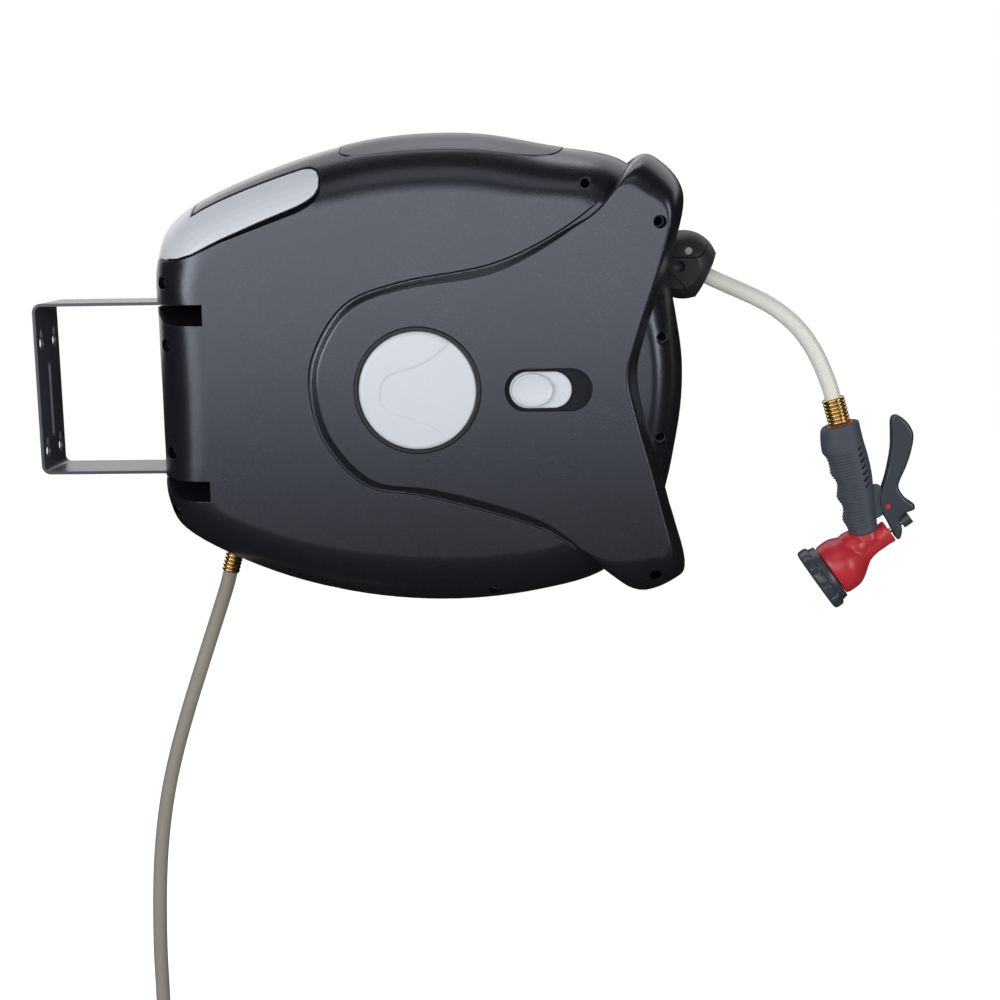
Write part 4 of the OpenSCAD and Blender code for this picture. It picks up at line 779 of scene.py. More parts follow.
class HOSEREEL_OT_camera(bpy.types.Operator):
    """Adds the camera that looks at the side with the lock"""

    bl_idname = "hose_reel.camera"
    bl_label = "Camera"

    def execute(self, context):
        data = bpy.data.cameras.new("camera")
        data.lens, data.sensor_width = LENS, SENSOR
        data.clip_start, data.clip_end = 0.05, 50
        camera = bpy.data.objects.new("camera", data)
        context.scene.collection.objects.link(camera)
        turn, fall, roll = (math.radians(a) for a in (CAMERA_TURN, CAMERA_FALL, CAMERA_ROLL))
        ahead = Vector((-math.sin(turn) * math.cos(fall), math.cos(turn) * math.cos(fall),
                        -math.sin(fall)))
        level = Vector((math.cos(turn), math.sin(turn), 0))
        down = ahead.cross(level)
        right = math.cos(roll) * level + math.sin(roll) * down
        down = -math.sin(roll) * level + math.cos(roll) * down
        facing = Matrix((right, -down, -ahead)).transposed().to_4x4()
        camera.matrix_world = Matrix.Translation(CAMERA_AT) @ facing
        context.scene.camera = camera
        return {"FINISHED"}


class HOSEREEL_OT_cords(bpy.types.Operator):
    """Adds the leader hose with its stop ball and sleeve, and the inlet hose with its turns"""

    bl_idname = "hose_reel.cords"
    bl_label = "Hoses"

    def execute(self, context):
        chosen = settings()
        leader, length = hose("leader_hose_tube", LEADER, chosen.hose_diameter / 2)
        dress(leader, "hose", "reel_casing", "hose_plastic", "leader_hose")
        hose_stop()
        ferrule("leader_ferrule", 10.8, 26, 7, AT_COUPLING, "hose_ferrule")
        inlet, length = hose("inlet_hose_tube", inlet_route(), chosen.inlet_diameter / 2, steps=3)
        dress(inlet, "inlet", "reel_casing", "inlet_plastic", "inlet_hose", "inlet_coil")
        ferrule("inlet_sleeve", 8.7, 24, 6, AT_INLET, "inlet_ferrule")
        return {"FINISHED"}


class HOSEREEL_OT_kept_parts(bpy.types.Operator):
    """Gives the CAD parts that keep their shape their finishes"""

    bl_idname = "hose_reel.kept_parts"
    bl_label = "Bracket, metal and inner parts"

    def execute(self, context):
        for finish, names in KEPT.items():
            for name in names:
                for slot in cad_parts[name].material_slots:
                    slot.material = FINISH[finish]
        return {"FINISHED"}


# ---------- casing, in millimetres about the drum axis ----------


def side_ring(angle, skin=0.0, shelf=0.0, step=NOSE_STEP, at=None):
    """One ring of the casing's side at an angle of its shoulder. The nose steps back."""
    points = smooth(OUTLINE, DETAIL)
    reach = np.linalg.norm(points, axis=1)
    nose = ramp(0.8, 0.88, points[:, 0] / reach)
    inset = SHOULDER_IN * (1 - (1 - NOSE_SHARE) * nose) * (1 - math.cos(angle)) + skin
    inset = inset + shelf * (0.1 + nose)
    points = points * (1 - inset / reach)[:, None]
    out = HALF - SHOULDER_BACK + (SHOULDER_BACK - skin - step * nose) * math.sin(angle)
    return [(x, -y if at is None else at, z) for (x, z), y in zip(points, out)]


def form_rings(start, skin=0.0, bands=12):
    """The casing's outer form, skin below its surface, from Y = start to the side face."""
    right = math.pi / 2
    rings = [side_ring(0, skin, at=start)]
    rings += [side_ring(right * k / bands, skin) for k in range(bands + 1)]
    rings += [side_ring(right, skin, NOSE_SHELF),
              side_ring(right, skin, NOSE_SHELF + NOSE_RISE, 0)]
    return rings


def cheek_ring(wall, end, lip):
    """One ring of the raised side panel, from (inset, depth) on its wall, ends and lip."""
    points = smooth(CHEEK, DETAIL)
    lean = points[:, 2]
    at_line, soft = 1 - ramp(0.4, 1.0, lean), ramp(1.2, 2.2, lean)
    shares = np.stack([1 - at_line - soft, soft, at_line])
    depth = sum(share * way[1] for share, way in zip(shares, (wall, end, lip)))
    inset = (shares[0] * wall[0] + shares[1] * end[0]) * lean + shares[2] * lip[0]
    reach = points[:, :2] - CHEEK_MIDDLE
    points = CHEEK_MIDDLE + reach * (1 - inset / np.linalg.norm(reach, axis=1))[:, None]
    return [(x, -y, z) for (x, z), y in zip(points, depth)]


def at_drum(piece):
    """Moves a piece drawn about the drum axis to its place."""
    piece.data.transform(Matrix.Translation(DRUM * MM))
    return piece


def cheek_form():
    """The raised panel: a clear front edge over a leaning wall, soft ends and a soft S line."""
    wall = [(0, 57), (0, 75), (2.2, 88), (5.0, 99), (8.0, 107), (9.6, 111)]
    wall += [(9.6 + 4.4 * (1 - math.cos(a)), 111 + 6 * math.sin(a))
             for a in np.radians((15, 30, 45, 60, 75, 90))]
    ends = [(14 * (1 - math.cos(a)), 57 + 60 * math.sin(a))
            for a in np.radians((0, 15, 28, 40, 50, 58, 65, 71, 76, 81, 85.5, 90))]
    lip = [(0, y) for y in (57, 75, 88, 99, 107, 113)]
    lip += [(LIP * t, 113 + 4 * float(ramp(0, 1, t))) for t in np.arange(1, 7) / 6]
    return loft("cheek", [cheek_ring(*places) for places in zip(wall, ends, lip)])


def groove(name, line, run, depth, level):
    """A cutter along a line over a face at Y = -level, deepest at the line, gone after run."""
    along = np.gradient(line, axis=0)
    along /= np.linalg.norm(along, axis=1)[:, None]
    out = np.stack([along[:, 1], -along[:, 0]], 1)
    section = [(-4, -level + depth)] + [(u, -level + depth * (1 - float(ramp(0, run, u))) - 0.02)
                                        for u in np.linspace(0, run, 13)]
    section += [(run, -level - 8), (-4, -level - 8)]
    return loft(name, [[(p[0] + n[0] * u, y, p[1] + n[1] * u) for u, y in section]
                       for p, n in zip(line, out)])


def prisms(name, outlines, low, high):
    """Outlines drawn in X and Z, extruded as one mesh."""
    verts, faces = [], []
    for outline in outlines:
        base, count = len(verts), len(outline)
        verts += [(x, y, z) for y in (low, high) for x, z in outline]
        faces += [tuple(base + i for i in face) for face in prism_faces(count)]
    return new_piece(name, verts, faces)


def rod(name, radius, low, high, centre=(0, 0), sides=48):
    """A round bar along Y, from Y low to Y high."""
    return prisms(name, [circle(radius, sides, centre)], low, high)


def handle_outline(grow, foot=0.0):
    """Side outline of the carrying handle, grown, with more room under its round end."""
    points = HANDLE_LOW + HANDLE_END + HANDLE_HIGH + [(-213, 300), (-300, 300), (-300, 127)]
    moved = offset_outline(points, grow)
    lower = len(HANDLE_LOW)
    for i in range(3, lower + 3):
        moved[i, 1] -= foot * ramp(-215, -110, points[i][0])
    return moved


def handle_cutter(name, grow, foot=0.0):
    """The space of the handle's half: an arm outside the ridge and half of the cross bar."""
    arm = slab(name, handle_outline(grow, foot), -400, RIDGE + grow)
    bar = slab("bar", offset_outline(CROSS_BAR, grow), RIDGE - 4, 2)
    under = offset_outline(smooth(OUTLINE, DETAIL), -BAR_DEEP - grow)
    inner = slab("inner", under, RIDGE + grow, 4)
    return shape(arm, shape(bar, inner), "UNION")


def arm_slot(name, z):
    """Cutter of a bracket arm's slot: high at the side, close round the arm in the middle."""
    foot = ARM_ROOM_UP - ARM_DROP
    section = [(-200, ARM_ROOM_UP), (-200, foot), (-94, foot), (-60, -ARM_ROOM_DOWN),
               (2, -ARM_ROOM_DOWN), (2, ARM_ROOM_UP)]
    return loft(name, [[(x, y, z - DRUM.z + h) for y, h in section]
                       for x in (-300, ARM_DEEP - DRUM.x)])


def box_outline(low, high):
    """A rectangle from its lowest to its highest corner, in X and Z."""
    (x0, z0), (x1, z1) = low, high
    return [(x0, z0), (x1, z0), (x1, z1), (x0, z1)]


def casing_half(name, far):
    """One half of the casing about the drum axis, drawn on the near side."""
    body = loft(name, [side_ring(0, SEAM, at=0), side_ring(0, at=-SEAM)] + form_rings(0)[1:])
    line = smooth(CHEEK, DETAIL)[:CHEEK.index(CHEEK_FOOT) * DETAIL + 1, :2]
    shape(body, groove("s_line", line, run=1.5, depth=1.7, level=HALF))
    shape(body, cheek_form(), "UNION")
    for centre in SCREWS:  # before the hollow, or the cuts leave rods behind
        shape(body, rod("well", SCREW_WELL, -FACE - 20, -60, centre, 32))
    shape(body, casing_hollow(far))
    cuts = [arm_slot("slot", z) for z in ARM_HEIGHTS]
    cuts += [handle_cutter("pocket", POCKET_GAP, POCKET_FOOT)]
    cuts += [shape(top_prism("recess", 0.7), loft("floor_form", form_rings(6, skin=PANEL)))]
    frame_room = box_outline((FRAME_BACK, MOUTH_HEIGHT - FRAME_OUT),
                             (FRAME_FRONT, MOUTH_HEIGHT + FRAME_OUT))
    cuts += [slab("frame_room", frame_room, -FRAME_OUT, 4)]
    mouth = rod("mouth", MOUTH, 214, 320, (0, 0), 64)
    mouth.data.transform(Matrix.Translation((0, 0, 0.109)) @ Matrix.Rotation(-math.pi / 2, 4, "Z"))
    cuts += [mouth]
    if not far:
        cuts += [rod("hub", HUB, -FACE - 20, -FACE + HUB_ROOM_DEEP, sides=128),
                 rod("bore", AXLE_BORE, -FACE, -90),
                 slab("lock", stadium(*LOCK_ROOM, centre=LOCK_ROOM_AT),
                      -FACE - 20, -FACE + LOCK_ROOM_DEEP),
                 slab("lock_slot", stadium(*LOCK_SLOT, centre=LOCK_SLOT_AT), -FACE - 20, -100)]
    for cutter in cuts:
        shape(body, cutter)
    return body


def casing_hollow(far):
    """The room inside a half, with walls left round every well, slot, pocket and recess."""
    inner = loft("inner", form_rings(2, skin=WALL, bands=4))
    shape(inner, prisms("posts", [circle(SCREW_POST, 24, p) for p in SCREWS], -FACE - 4, 4))
    for z in ARM_HEIGHTS:
        low, high = (-260, z - DRUM.z - 22), (-193, z - DRUM.z + 5)
        shape(inner, slab("slot_wall", box_outline(low, high), -200, 10))
    shape(inner, handle_cutter("pocket_wall", 4.4))
    rim = FRAME_OUT + WALL
    frame_wall = box_outline((FRAME_BACK - WALL, MOUTH_HEIGHT - rim), (270, MOUTH_HEIGHT + rim))
    shape(inner, prisms("frame_wall", [frame_wall], -rim, 6))
    if not far:
        for cutter in (rod("hub", HUB + WALL, -FACE - 4, -FACE + HUB_ROOM_DEEP + WALL),
                       rod("axle", AXLE_POST, -FACE, -94),
                       slab("lock", stadium(*(side + 2 * WALL for side in LOCK_ROOM),
                                            centre=LOCK_ROOM_AT),
                            -FACE - 4, -FACE + LOCK_ROOM_DEEP + WALL)):
            shape(inner, cutter)
    return inner


def top_prism(name, grow):
    """Blank of the near half of the inset top panel, drawn from above."""
    half = smooth(TOP_PANEL, DETAIL, closed=False)
    past_middle = [(TOP_PANEL[-1][0], 60), (TOP_PANEL[0][0], 60)]
    outline = offset_outline(np.vstack([half, past_middle]), grow)
    outline[:, 1] = np.minimum(outline[:, 1], 2)
    verts = [(x, y, z) for z in (130, 330) for x, y in outline]
    return new_piece(name, verts, prism_faces(len(outline)))


def inside(outline, x, z):
    """Whether a point lies in a closed outline."""
    ends = np.roll(outline, -1, 0)
    crossed = (outline[:, 1] > z) != (ends[:, 1] > z)
    a, b = outline[crossed], ends[crossed]
    at = a[:, 0] + (z - a[:, 1]) * (b[:, 0] - a[:, 0]) / (b[:, 1] - a[:, 1])
    return np.count_nonzero(at > x) % 2 == 1


def paint_recess_shade(casing):
    """Gives the recesses of the lock, the hub and the handle a duller copy of the casing's plastic:
    painted shade that renders them darker.
    """
    casing.data.materials.append(FINISH["recess"])
    places = [v.co / MM - DRUM for v in casing.data.vertices]
    pocket = handle_outline(POCKET_GAP + 0.6, POCKET_FOOT)

    def in_lock(p):
        along = max(0, abs(p.x - LOCK_ROOM_AT[0]) - (LOCK_ROOM[0] - LOCK_ROOM[1]) / 2)
        return (p.y > -FACE - 0.1
                and math.hypot(along, p.z - LOCK_ROOM_AT[1]) < LOCK_ROOM[1] / 2 + 0.4)

    def in_hub(p):
        return p.y > -FACE - 0.1 and math.hypot(p.x, p.z) < HUB + 0.4

    def in_pocket(p):
        return -113 < p.y < RIDGE + 3 and p.x > -250 and inside(pocket, p.x, p.z)

    for face in casing.data.polygons:
        corners = [places[i] for i in face.vertices]
        if any(all(test(p) for p in corners) for test in (in_lock, in_hub, in_pocket)):
            face.material_index = 1


class HOSEREEL_OT_casing(bpy.types.Operator):
    """Adds the two halves of the casing"""

    bl_idname = "hose_reel.casing"
    bl_label = "Casing"

    def execute(self, context):
        near = shade(at_drum(casing_half("casing_near", far=False)))
        dress(near, "casing", "reel_casing", "casing_plastic", "near_casing")
        paint_recess_shade(near)
        far = mirrored(at_drum(casing_half("casing_far_blank", far=True)), "casing_far")
        bpy.data.objects.remove(bpy.data.objects["casing_far_blank"])
        dress(shade(far), "casing", "reel_casing", "casing_plastic", "far_casing")
        return {"FINISHED"}


class HOSEREEL_OT_top_panel(bpy.types.Operator):
    """Adds the inset panel on the casing's crown"""

    bl_idname = "hose_reel.top_panel"
    bl_label = "Top panel"

    def execute(self, context):
        half = top_prism("top_panel_near", -0.5)
        shape(half, loft("outside", form_rings(6, skin=-0.5)), "INTERSECT")
        shape(half, loft("inside", form_rings(8, skin=PANEL)))
        shape(half, mirrored(half), "UNION")
        half.name = "top_cover"
        shade(at_drum(round_edges(half, 0.7, 2)))
        dress(half, "panel", "reel_casing", "casing_plastic", "top_panel")
        return {"FINISHED"}


# ---------- carrying handle, hub cap and lock ----------


class HOSEREEL_OT_carry_handle(bpy.types.Operator):
    """Adds the folding handle at the rear of the crown"""

    bl_idname = "hose_reel.carry_handle"
    bl_label = "Carrying handle"

    def execute(self, context):
        half = loft("handle_near", form_rings(1))
        shape(half, handle_cutter("handle_space", 0.0), "INTERSECT")
        whole = shape(half, mirrored(half), "UNION")
        whole.name = "folding_handle"
        soften(whole, 1.1, 5)
        shade(at_drum(whole), angle=180, weighted=False)
        dress(whole, "light", "handle", "light_plastic", "carry_handle")
        return {"FINISHED"}


def side_of(points, line):
    """Signed distance of points from a line of points, positive on the line's right."""
    first, step = line[:-1], np.diff(line, axis=0)
    share = np.einsum("pij,ij->pi", points[:, None] - first[None], step) / np.sum(step ** 2, 1)
    nearest = first + np.clip(share, 0, 1)[..., None] * step
    away = points[:, None] - nearest
    distance = np.linalg.norm(away, axis=2)
    best = np.argmin(distance, 1)
    rows = np.arange(len(points))
    turn = step[best, 0] * away[rows, best, 1] - step[best, 1] * away[rows, best, 0]
    return np.where(turn < 0, 1, -1) * distance[rows, best]


class HOSEREEL_OT_hub_cap(bpy.types.Operator):
    """Adds the domed cap over the drum's axle, with its raised field"""

    bl_idname = "hose_reel.hub_cap"
    bl_label = "Hub cap"

    def execute(self, context):
        radii = np.r_[0, np.linspace(2, CAP - CAP_EDGE, 76)]
        profile = [(r, FACE + 1.9 - 1.4 * (r / CAP) ** 2) for r in radii]
        for a in np.radians((22, 45, 68, 90)):
            profile.append((CAP - CAP_EDGE + CAP_EDGE * math.sin(a),
                            FACE + 0.55 - 1.8 * (1 - math.cos(a))))
        profile += [(CAP, FACE - 5), (0, FACE - 5)]
        cap = lathe("cap_dome", profile, 250, Matrix.Rotation(math.pi / 2, 4, "X"))
        co = np.empty(len(cap.data.vertices) * 3)
        cap.data.vertices.foreach_get("co", co)
        co = co.reshape(-1, 3)
        front = co[:, 1] < -(FACE - 1) * MM
        flat = co[front][:, [0, 2]] / MM
        reach = side_of(flat, smooth(CAP_CURVE, 8, closed=False))
        at_rim = ramp(CAP - 4, CAP - 1, np.linalg.norm(flat, axis=1))
        co[front, 1] -= CAP_RAISED * MM * ramp(-0.6, 0.6, reach) * (1 - at_rim)
        cap.data.vertices.foreach_set("co", co.ravel())
        cap.data.update()
        shade(at_drum(cap), angle=50, weighted=False)
        dress(cap, "light", "reel_casing", "light_plastic", "hub_cap")
        return {"FINISHED"}


def domed(name, outline_at, profile):
    """A flat button from outlines that draw in over its rim."""
    return loft(name, [[(x, y, z) for x, z in outline_at(inset)] for inset, y in profile])


class HOSEREEL_OT_lock_slider(bpy.types.Operator):
    """Adds the slider of the drum lock, with the raised oval for a thumb"""

    bl_idname = "hose_reel.lock_slider"
    bl_label = "Lock slider"

    def execute(self, context):
        long, wide = SLIDER
        middle = (LOCK_AT[0] - long / 2 + 21.5, LOCK_AT[1])

        def plate_outline(inset):
            return stadium(long - 2 * inset, wide - 2 * inset, 32, LOCK_AT)

        def oval(inset):
            turn = np.linspace(0, 2 * math.pi, 96, endpoint=False)
            return np.stack([middle[0] + (19.5 - inset) * np.cos(turn),
                             middle[1] + (wide / 2 - 1.2 - inset) * np.sin(turn)], 1)

        plate = domed("lock_plate", plate_outline, [(t, -FACE + deep) for t, deep in PLATE_RIM])
        button = domed("lock_button", oval, [(t, -FACE + deep) for t, deep in BUTTON_RIM])
        shape(plate, button, "UNION")
        stem = slab("lock_stem", stadium(10, 9.4, centre=LOCK_AT), -FACE + 4.0, -FACE + 8.2)
        shape(plate, stem, "UNION")
        plate.name = "lock_button_plate"
        dress(shade(at_drum(plate), angle=50), "light", "slider", "light_plastic", "lock_slider")
        return {"FINISHED"}


# ---------- spray gun ----------

AT_GRIP = Matrix.Translation((796, 0, -38.5)) @ Matrix.Rotation(math.radians(-13.5), 4, "Y")
AT_NOZZLE = Matrix.Translation((774.5, 0, -199)) @ Matrix.Rotation(math.radians(54.5), 4, "Y")
AT_SADDLE = Matrix.Translation((811, 0, -163)) @ Matrix.Rotation(math.radians(72), 4, "Y")


def grip_section(height, lift):
    """One ring of the grip: fuller on the hose side, with fine ribs there."""
    back, front, deep = (float(np.interp(-height, *zip(*side)))
                         for side in (HOSE_SIDE, TRIGGER_SIDE, GRIP_DEPTHS))
    turn = np.linspace(0, 2 * math.pi, GRIP_SIDES, endpoint=False)
    across = np.sign(np.cos(turn)) * np.abs(np.cos(turn)) ** GRIP_POWER
    over = np.sign(np.sin(turn)) * np.abs(np.sin(turn)) ** GRIP_POWER
    middle, wide = (back + front) / 2, (front - back) / 2
    x, y = middle + wide * across, deep * over
    ribbed = (1 - ramp(0.5, 5.5, x)) * ramp(27, 30, -height) * (1 - ramp(106, 109, -height))
    rib = (RIB_WAVE * math.cos(2 * math.pi * height / RIB_PITCH) - RIB_SUNK) * ribbed
    grown = zip(x + np.cos(turn) * (lift + rib), y + np.sin(turn) * (lift + rib))
    return [(a, b, height) for a, b in grown]


def slit_cutter(k):
    """Cutter of one of the grip's slits on its far side, counted from the top."""
    slit = new_piece("slit", [(x, y, z) for y in (10, 24) for x, z in stadium(*SLIT)],
                     prism_faces(32))
    at = Matrix.Translation((SLIT_AT[0] - SLIT_STEP[0] * k, 0, SLIT_AT[1] - SLIT_STEP[1] * k))
    slit.data.transform(scaled_place(at @ Matrix.Rotation(math.radians(SLIT_TILT), 4, "Y")))
    return slit


class HOSEREEL_OT_gun_grip(bpy.types.Operator):
    """Adds the rubber grip with its finger waves, ribs and slits"""

    bl_idname = "hose_reel.gun_grip"
    bl_label = "Gun grip"

    def execute(self, context):
        rings = [grip_section(-GRIP - 2, -6.0), grip_section(-GRIP - 1.4, -2.2),
                 grip_section(-GRIP, -0.6)]
        rings += [grip_section(h, 0.0) for h in np.arange(-GRIP + 1.2, -2.2, RIB_PITCH / 8)]
        rings += [grip_section(-1.2, -0.2), grip_section(-0.4, -0.7), grip_section(0, -1.6)]
        for radius, height in ((14.6, 0), (13.9, -0.6), (13.9, -2.5)):
            turn = np.linspace(0, 2 * math.pi, GRIP_SIDES, endpoint=False)
            rings.append([(radius * math.cos(t), radius * math.sin(t), height) for t in turn])
        grip = loft("rubber_grip", rings)
        for slit in [flipped(slit_cutter(k)) for k in range(SLITS)]:
            shape(grip, slit)
        for slit in [slit_cutter(k) for k in range(SLITS)]:
            shape(grip, slit)
        place(grip, AT_GRIP)
        lug = domed("pivot_lug", lambda inset: hull_of(LUG_CORNERS, inset), LUG_RIM)
        barrel = lathe("barrel_room", [(0, 19), (11.7, 19), (11.7, 108), (0, 108)], 48)
        shape(lug, place(barrel, AT_NOZZLE))
        shape(grip, lug, "UNION")
        dress(shade(grip, angle=40), "grip", "reel_casing", "grip_rubber", "gun_grip")
        return {"FINISHED"}


def hull_of(circles, inset=0.0, sides=72):
    """The outline round a few circles of (x, z, radius)."""
    made = []
    for turn in np.linspace(0, 2 * math.pi, sides, endpoint=False):
        way = np.array((math.cos(turn), math.sin(turn)))
        x, z, r = max(circles, key=lambda c: c[0] * way[0] + c[1] * way[1] + c[2])
        made.append(np.array((x, z)) + way * (r - inset))
    return np.array(made)


class HOSEREEL_OT_gun_body(bpy.types.Operator):
    """Adds the glossy body with its bulb, its rear barrel and its neck in the grip"""

    bl_idname = "hose_reel.gun_body"
    bl_label = "Gun body"

    def execute(self, context):
        profile = [(0, 18.6)] + [(float(r), float(h)) for r, h in smooth(BODY, 6, closed=False)]
        body = place(lathe("body_form", profile + BARREL, 96), AT_NOZZLE)
        shape(body, place(lathe("neck", NECK, 64), AT_GRIP), "UNION")
        arc = [(SADDLE * math.cos(a), SADDLE * math.sin(a)) for a in np.linspace(-1.4, 1.4, 15)]
        saddle = lathe("saddle", [(0, -SADDLE)] + arc + [(0, SADDLE)], 48)
        place(saddle, AT_SADDLE @ Matrix.Diagonal(SADDLE_SQUASH))
        shape(body, saddle, "UNION")
        body.name = "red_body"
        soften(body, 0.7, 22)
        dress(shade(body, angle=180, weighted=False), "red", "reel_casing", "gun_red", "gun_body")
        return {"FINISHED"}


class HOSEREEL_OT_gun_dial(bpy.types.Operator):
    """Adds the turning spray dial with its grip lobes"""

    bl_idname = "hose_reel.gun_dial"
    bl_label = "Spray dial"

    def execute(self, context):
        turn = np.linspace(0, 2 * math.pi, 288, endpoint=False)
        away = np.abs((turn * LOBES / (2 * math.pi) + 0.5) % 1 - 0.5) * 2
        valley = np.exp(-(away / VALLEY_WIDE) ** 2)
        rings = [[((r - VALLEY_DEEP * share * v) * math.cos(t),
                   (r - VALLEY_DEEP * share * v) * math.sin(t), h)
                  for t, v in zip(turn, valley)] for r, h, share in DIAL]
        dial = place(loft("spray_dial", rings), AT_NOZZLE)
        bore = lathe("dial_bore", [(0, 3), (8.1, 3), (8.1, 20), (0, 20)], 48)
        shape(dial, place(bore, AT_NOZZLE))
        dress(shade(dial, angle=40, weighted=False), "gun", "dial", "gun_plastic", "gun_dial")
        return {"FINISHED"}


class HOSEREEL_OT_gun_trigger(bpy.types.Operator):
    """Adds the lever, a channel that is open towards the grip"""

    bl_idname = "hose_reel.gun_trigger"
    bl_label = "Trigger"

    def execute(self, context):
        outline = smooth(TRIGGER, 4)
        along = np.roll(outline, -1, 0) - np.roll(outline, 1, 0)
        outer = ramp(-0.3, 0.6, -along[:, 1] / np.linalg.norm(along, axis=1))
        rings = []
        for side in (-1, 1):
            for a in np.radians((90, 68, 45, 22, 0))[::-side]:
                inset = (0.3 + 0.7 * outer) * TRIGGER_ROUND * (1 - math.cos(a))
                drawn = outline + (offset_outline(outline, -1) - outline) * inset[:, None]
                rings.append([(x, side * (TRIGGER_FLAT + TRIGGER_ROUND * math.sin(a)), z)
                              for x, z in drawn])
        lever = loft("trigger_lever", rings)
        for name, room in (("channel", outline + CHANNEL_SHIFT),
                           ("lug_room", box_outline((829.7, -181), (869.7, -115)))):
            shape(lever, slab(name, room, -CHANNEL, CHANNEL))
        dress(shade(lever, angle=38), "gun", "trigger", "gun_plastic", "gun_trigger")
        return {"FINISHED"}


# ---------- hose on the drum, in millimetres ----------

CORE, INNER_TOP = 124, 156  # radii of the drum and of the inner layers
INNER_WAVE = 2.5  # depth between two turns
DRUM_WIDTH, TURNS = 156, 8


class HOSEREEL_OT_wound_hose(bpy.types.Operator):
    """Adds the hose on the drum: an outer layer of turns over the inner layers"""

    bl_idname = "hose_reel.wound_hose"
    bl_label = "Hose on the drum"

    def execute(self, context):
        radius = settings().hose_diameter / 2 / MM
        layer = CORE + 4 * radius + radius + 0.6
        span = DRUM_WIDTH - 2 * radius - 1
        shares = [i / 60 for i in range(60 * TURNS + 1)]
        middle = [DRUM + Vector((layer * math.cos(2 * math.pi * t), -span / 2 + span / TURNS * t,
                                 layer * math.sin(2 * math.pi * t))) for t in shares]
        outer, _ = hose("hose_outer_turns", [tuple(p * MM) for p in middle], radius * MM,
                        steps=1, sides=6)
        dress(outer, "hose", "drum", "hose_plastic", "hose_outer_layer")
        low, high = -DRUM_WIDTH / 2 + 0.3, DRUM_WIDTH / 2 - 0.3
        rows = int((high - low) // (2 * radius)) * 8
        profile = [(INNER_TOP - INNER_WAVE + INNER_WAVE * abs(math.sin(math.pi * k / 8)),
                    low + (high - low) * k / rows) for k in range(rows + 1)]
        profile = [(CORE + 0.2, low)] + profile + [(CORE + 0.2, high), (CORE + 0.2, low)]
        at_drum_axis = Matrix.Translation(DRUM) @ Matrix.Rotation(-math.pi / 2, 4, "X")
        inner = lathe("hose_inner_turns", profile, 128, at_drum_axis)
        dress(shade(inner), "hose", "drum", "hose_plastic", "hose_inner_layers")
        return {"FINISHED"}


# ---------- floor, world and lamps, in metres ----------

AMBIENT = 0.15
FLOOR_AT, FLOOR_REACH, FLOOR_TONE, FLOOR_GLOW = -0.93, 6, 0.85, 0.85
ROOM_LOW, ROOM_HIGH, ROOM_SILL = (-2.4, -3.6, -0.92), (3.2, 1.3, 3.0), 0.6
LAMP_AIM = Vector((0.4, 0, 0.02))
LAMPS = [  # name, place, width, height, power
    ("front", (0.15, -2.45, 0.27), 2.1, 1.06, 18.5),
    ("left", (-1.35, -1.95, 0.4), 1.15, 1.2, 24),
    ("right", (2.3, -1.5, 0.4), 0.5, 1.2, 14),
    ("top", (0.3, -1.6, 2.0), 2.0, 1.2, 6),
    ("rim", (0.3, 1.0, 2.2), 1.4, 0.6, 6),
    ("back", (-0.1, 1.25, 0.35), 1.5, 0.9, 5)]


class HOSEREEL_OT_stage(bpy.types.Operator):
    """Adds the pale floor, the world and the soft lamps"""

    bl_idname = "hose_reel.stage"
    bl_label = "Floor and light"

    def execute(self, context):
        scene = context.scene
        scene.view_settings.view_transform = "Standard"
        corners = box_outline((-FLOOR_REACH, -FLOOR_REACH), (FLOOR_REACH, FLOOR_REACH))
        floor = new_piece("floor", [(x, y, FLOOR_AT) for x, y in corners], [(0, 1, 2, 3)], 1)
        floor.data.materials.append(white_when_seen("floor"))
        world = bpy.data.worlds.new("studio")
        scene.world = world
        world.use_nodes = True
        tree = world.node_tree
        back = tree.nodes["Background"]
        back.inputs["Color"].default_value = (1, 1, 1, 1)
        more = math_node(tree, "MULTIPLY", seen_share(tree), 1 - AMBIENT)
        tree.links.new(math_node(tree, "ADD", more, AMBIENT), back.inputs["Strength"])
        dark_walls()
        for name, spot, wide, high, power in LAMPS:
            data = bpy.data.lights.new(name, "AREA")
            data.shape, data.energy, data.size, data.size_y = "RECTANGLE", power, wide, high
            lamp = bpy.data.objects.new(name, data)
            scene.collection.objects.link(lamp)
            lamp.location = spot
            lamp.visible_camera = False
            lamp.rotation_mode = "QUATERNION"
            lamp.rotation_quaternion = (LAMP_AIM - Vector(spot)).to_track_quat("-Z", "Y")
        return {"FINISHED"}


def dark_walls():
    """The dark room round the lamps, which only reflections see. It is open behind."""
    x0, y0, z0 = ROOM_LOW
    x1, y1, z1 = ROOM_HIGH
    verts = [(x, y, z) for z in (z0, z1) for x, y in box_outline((x0, y0), (x1, y1))]
    verts += [(x0, y1, ROOM_SILL), (x1, y1, ROOM_SILL)]
    faces = [(0, 1, 2, 3), (0, 1, 5, 4), (0, 3, 8, 7, 4), (1, 2, 9, 6, 5), (4, 5, 6, 7),
             (3, 2, 9, 8)]
    walls = new_piece("dark_walls", verts, faces, 1)
    matt = bpy.data.materials.new("dark_wall")
    matt.use_nodes = True
    inputs = matt.node_tree.nodes["Principled BSDF"].inputs
    inputs["Base Color"].default_value = (0.01, 0.01, 0.01, 1)
    inputs["Roughness"].default_value = 1.0
    walls.data.materials.append(matt)
    walls.visible_camera = walls.visible_diffuse = False
    walls.visible_shadow = walls.visible_transmission = False
    return walls


def seen_share(tree):
    """1 for rays of the camera, of reflections and through clear materials, 0 for other light."""
    path = tree.nodes.new("ShaderNodeLightPath")
    seen = math_node(tree, "MAXIMUM", path.outputs["Is Camera Ray"], path.outputs["Is Glossy Ray"])
    return math_node(tree, "MAXIMUM", seen, path.outputs["Is Transmission Ray"])


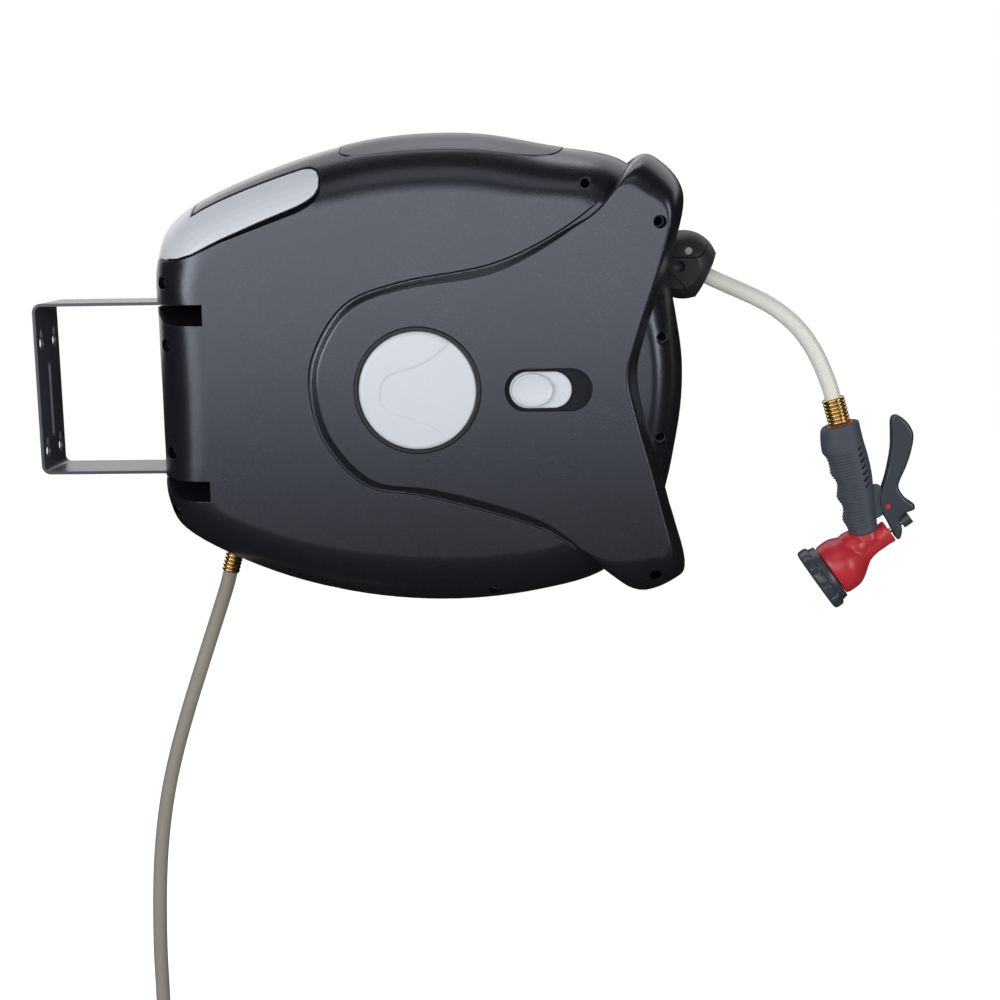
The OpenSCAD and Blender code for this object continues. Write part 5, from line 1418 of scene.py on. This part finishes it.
def white_when_seen(name):
    """A pale matt material that the camera sees as white where no shadow falls."""
    material = bpy.data.materials.new(name)
    material.use_nodes = True
    tree = material.node_tree
    shader = tree.nodes["Principled BSDF"]
    shader.inputs["Base Color"].default_value = (FLOOR_TONE, FLOOR_TONE, FLOOR_TONE, 1)
    shader.inputs["Roughness"].default_value = 0.9
    shader.inputs["Emission Color"].default_value = (1, 1, 1, 1)
    glow = math_node(tree, "MULTIPLY", seen_share(tree), FLOOR_GLOW)
    tree.links.new(glow, shader.inputs["Emission Strength"])
    return material


class HOSEREEL_PT_panel(bpy.types.Panel):
    bl_label = "Hose reel"
    bl_idname = "HOSEREEL_PT_panel"
    bl_space_type = "VIEW_3D"
    bl_region_type = "UI"
    bl_category = "Hose reel"

    def draw(self, context):
        chosen = context.scene.hose_reel
        for name in chosen.__annotations__:
            self.layout.prop(chosen, name)
        for step in STEPS:
            self.layout.operator(step.bl_idname)


STEPS = [
    HOSEREEL_OT_camera, HOSEREEL_OT_cords, HOSEREEL_OT_kept_parts, HOSEREEL_OT_casing,
    HOSEREEL_OT_top_panel, HOSEREEL_OT_carry_handle, HOSEREEL_OT_hub_cap,
    HOSEREEL_OT_lock_slider, HOSEREEL_OT_gun_grip, HOSEREEL_OT_gun_body, HOSEREEL_OT_gun_dial,
    HOSEREEL_OT_gun_trigger, HOSEREEL_OT_wound_hose, HOSEREEL_OT_stage]
CLASSES = [HoseReelSettings, *STEPS, HOSEREEL_PT_panel]


def register():
    """Makes the classes and the settings known to Blender."""
    for kind in CLASSES:
        bpy.utils.register_class(kind)
    bpy.types.Scene.hose_reel = bpy.props.PointerProperty(type=HoseReelSettings)


def unregister():
    """Takes them out again."""
    del bpy.types.Scene.hose_reel
    for kind in reversed(CLASSES):
        bpy.utils.unregister_class(kind)


def main():
    """Builds everything in order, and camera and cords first."""
    register()
    make_finishes(settings())
    for step in STEPS:
        group, name = step.bl_idname.split(".")
        getattr(getattr(bpy.ops, group), name)()


if __name__ == "__main__":
    main()
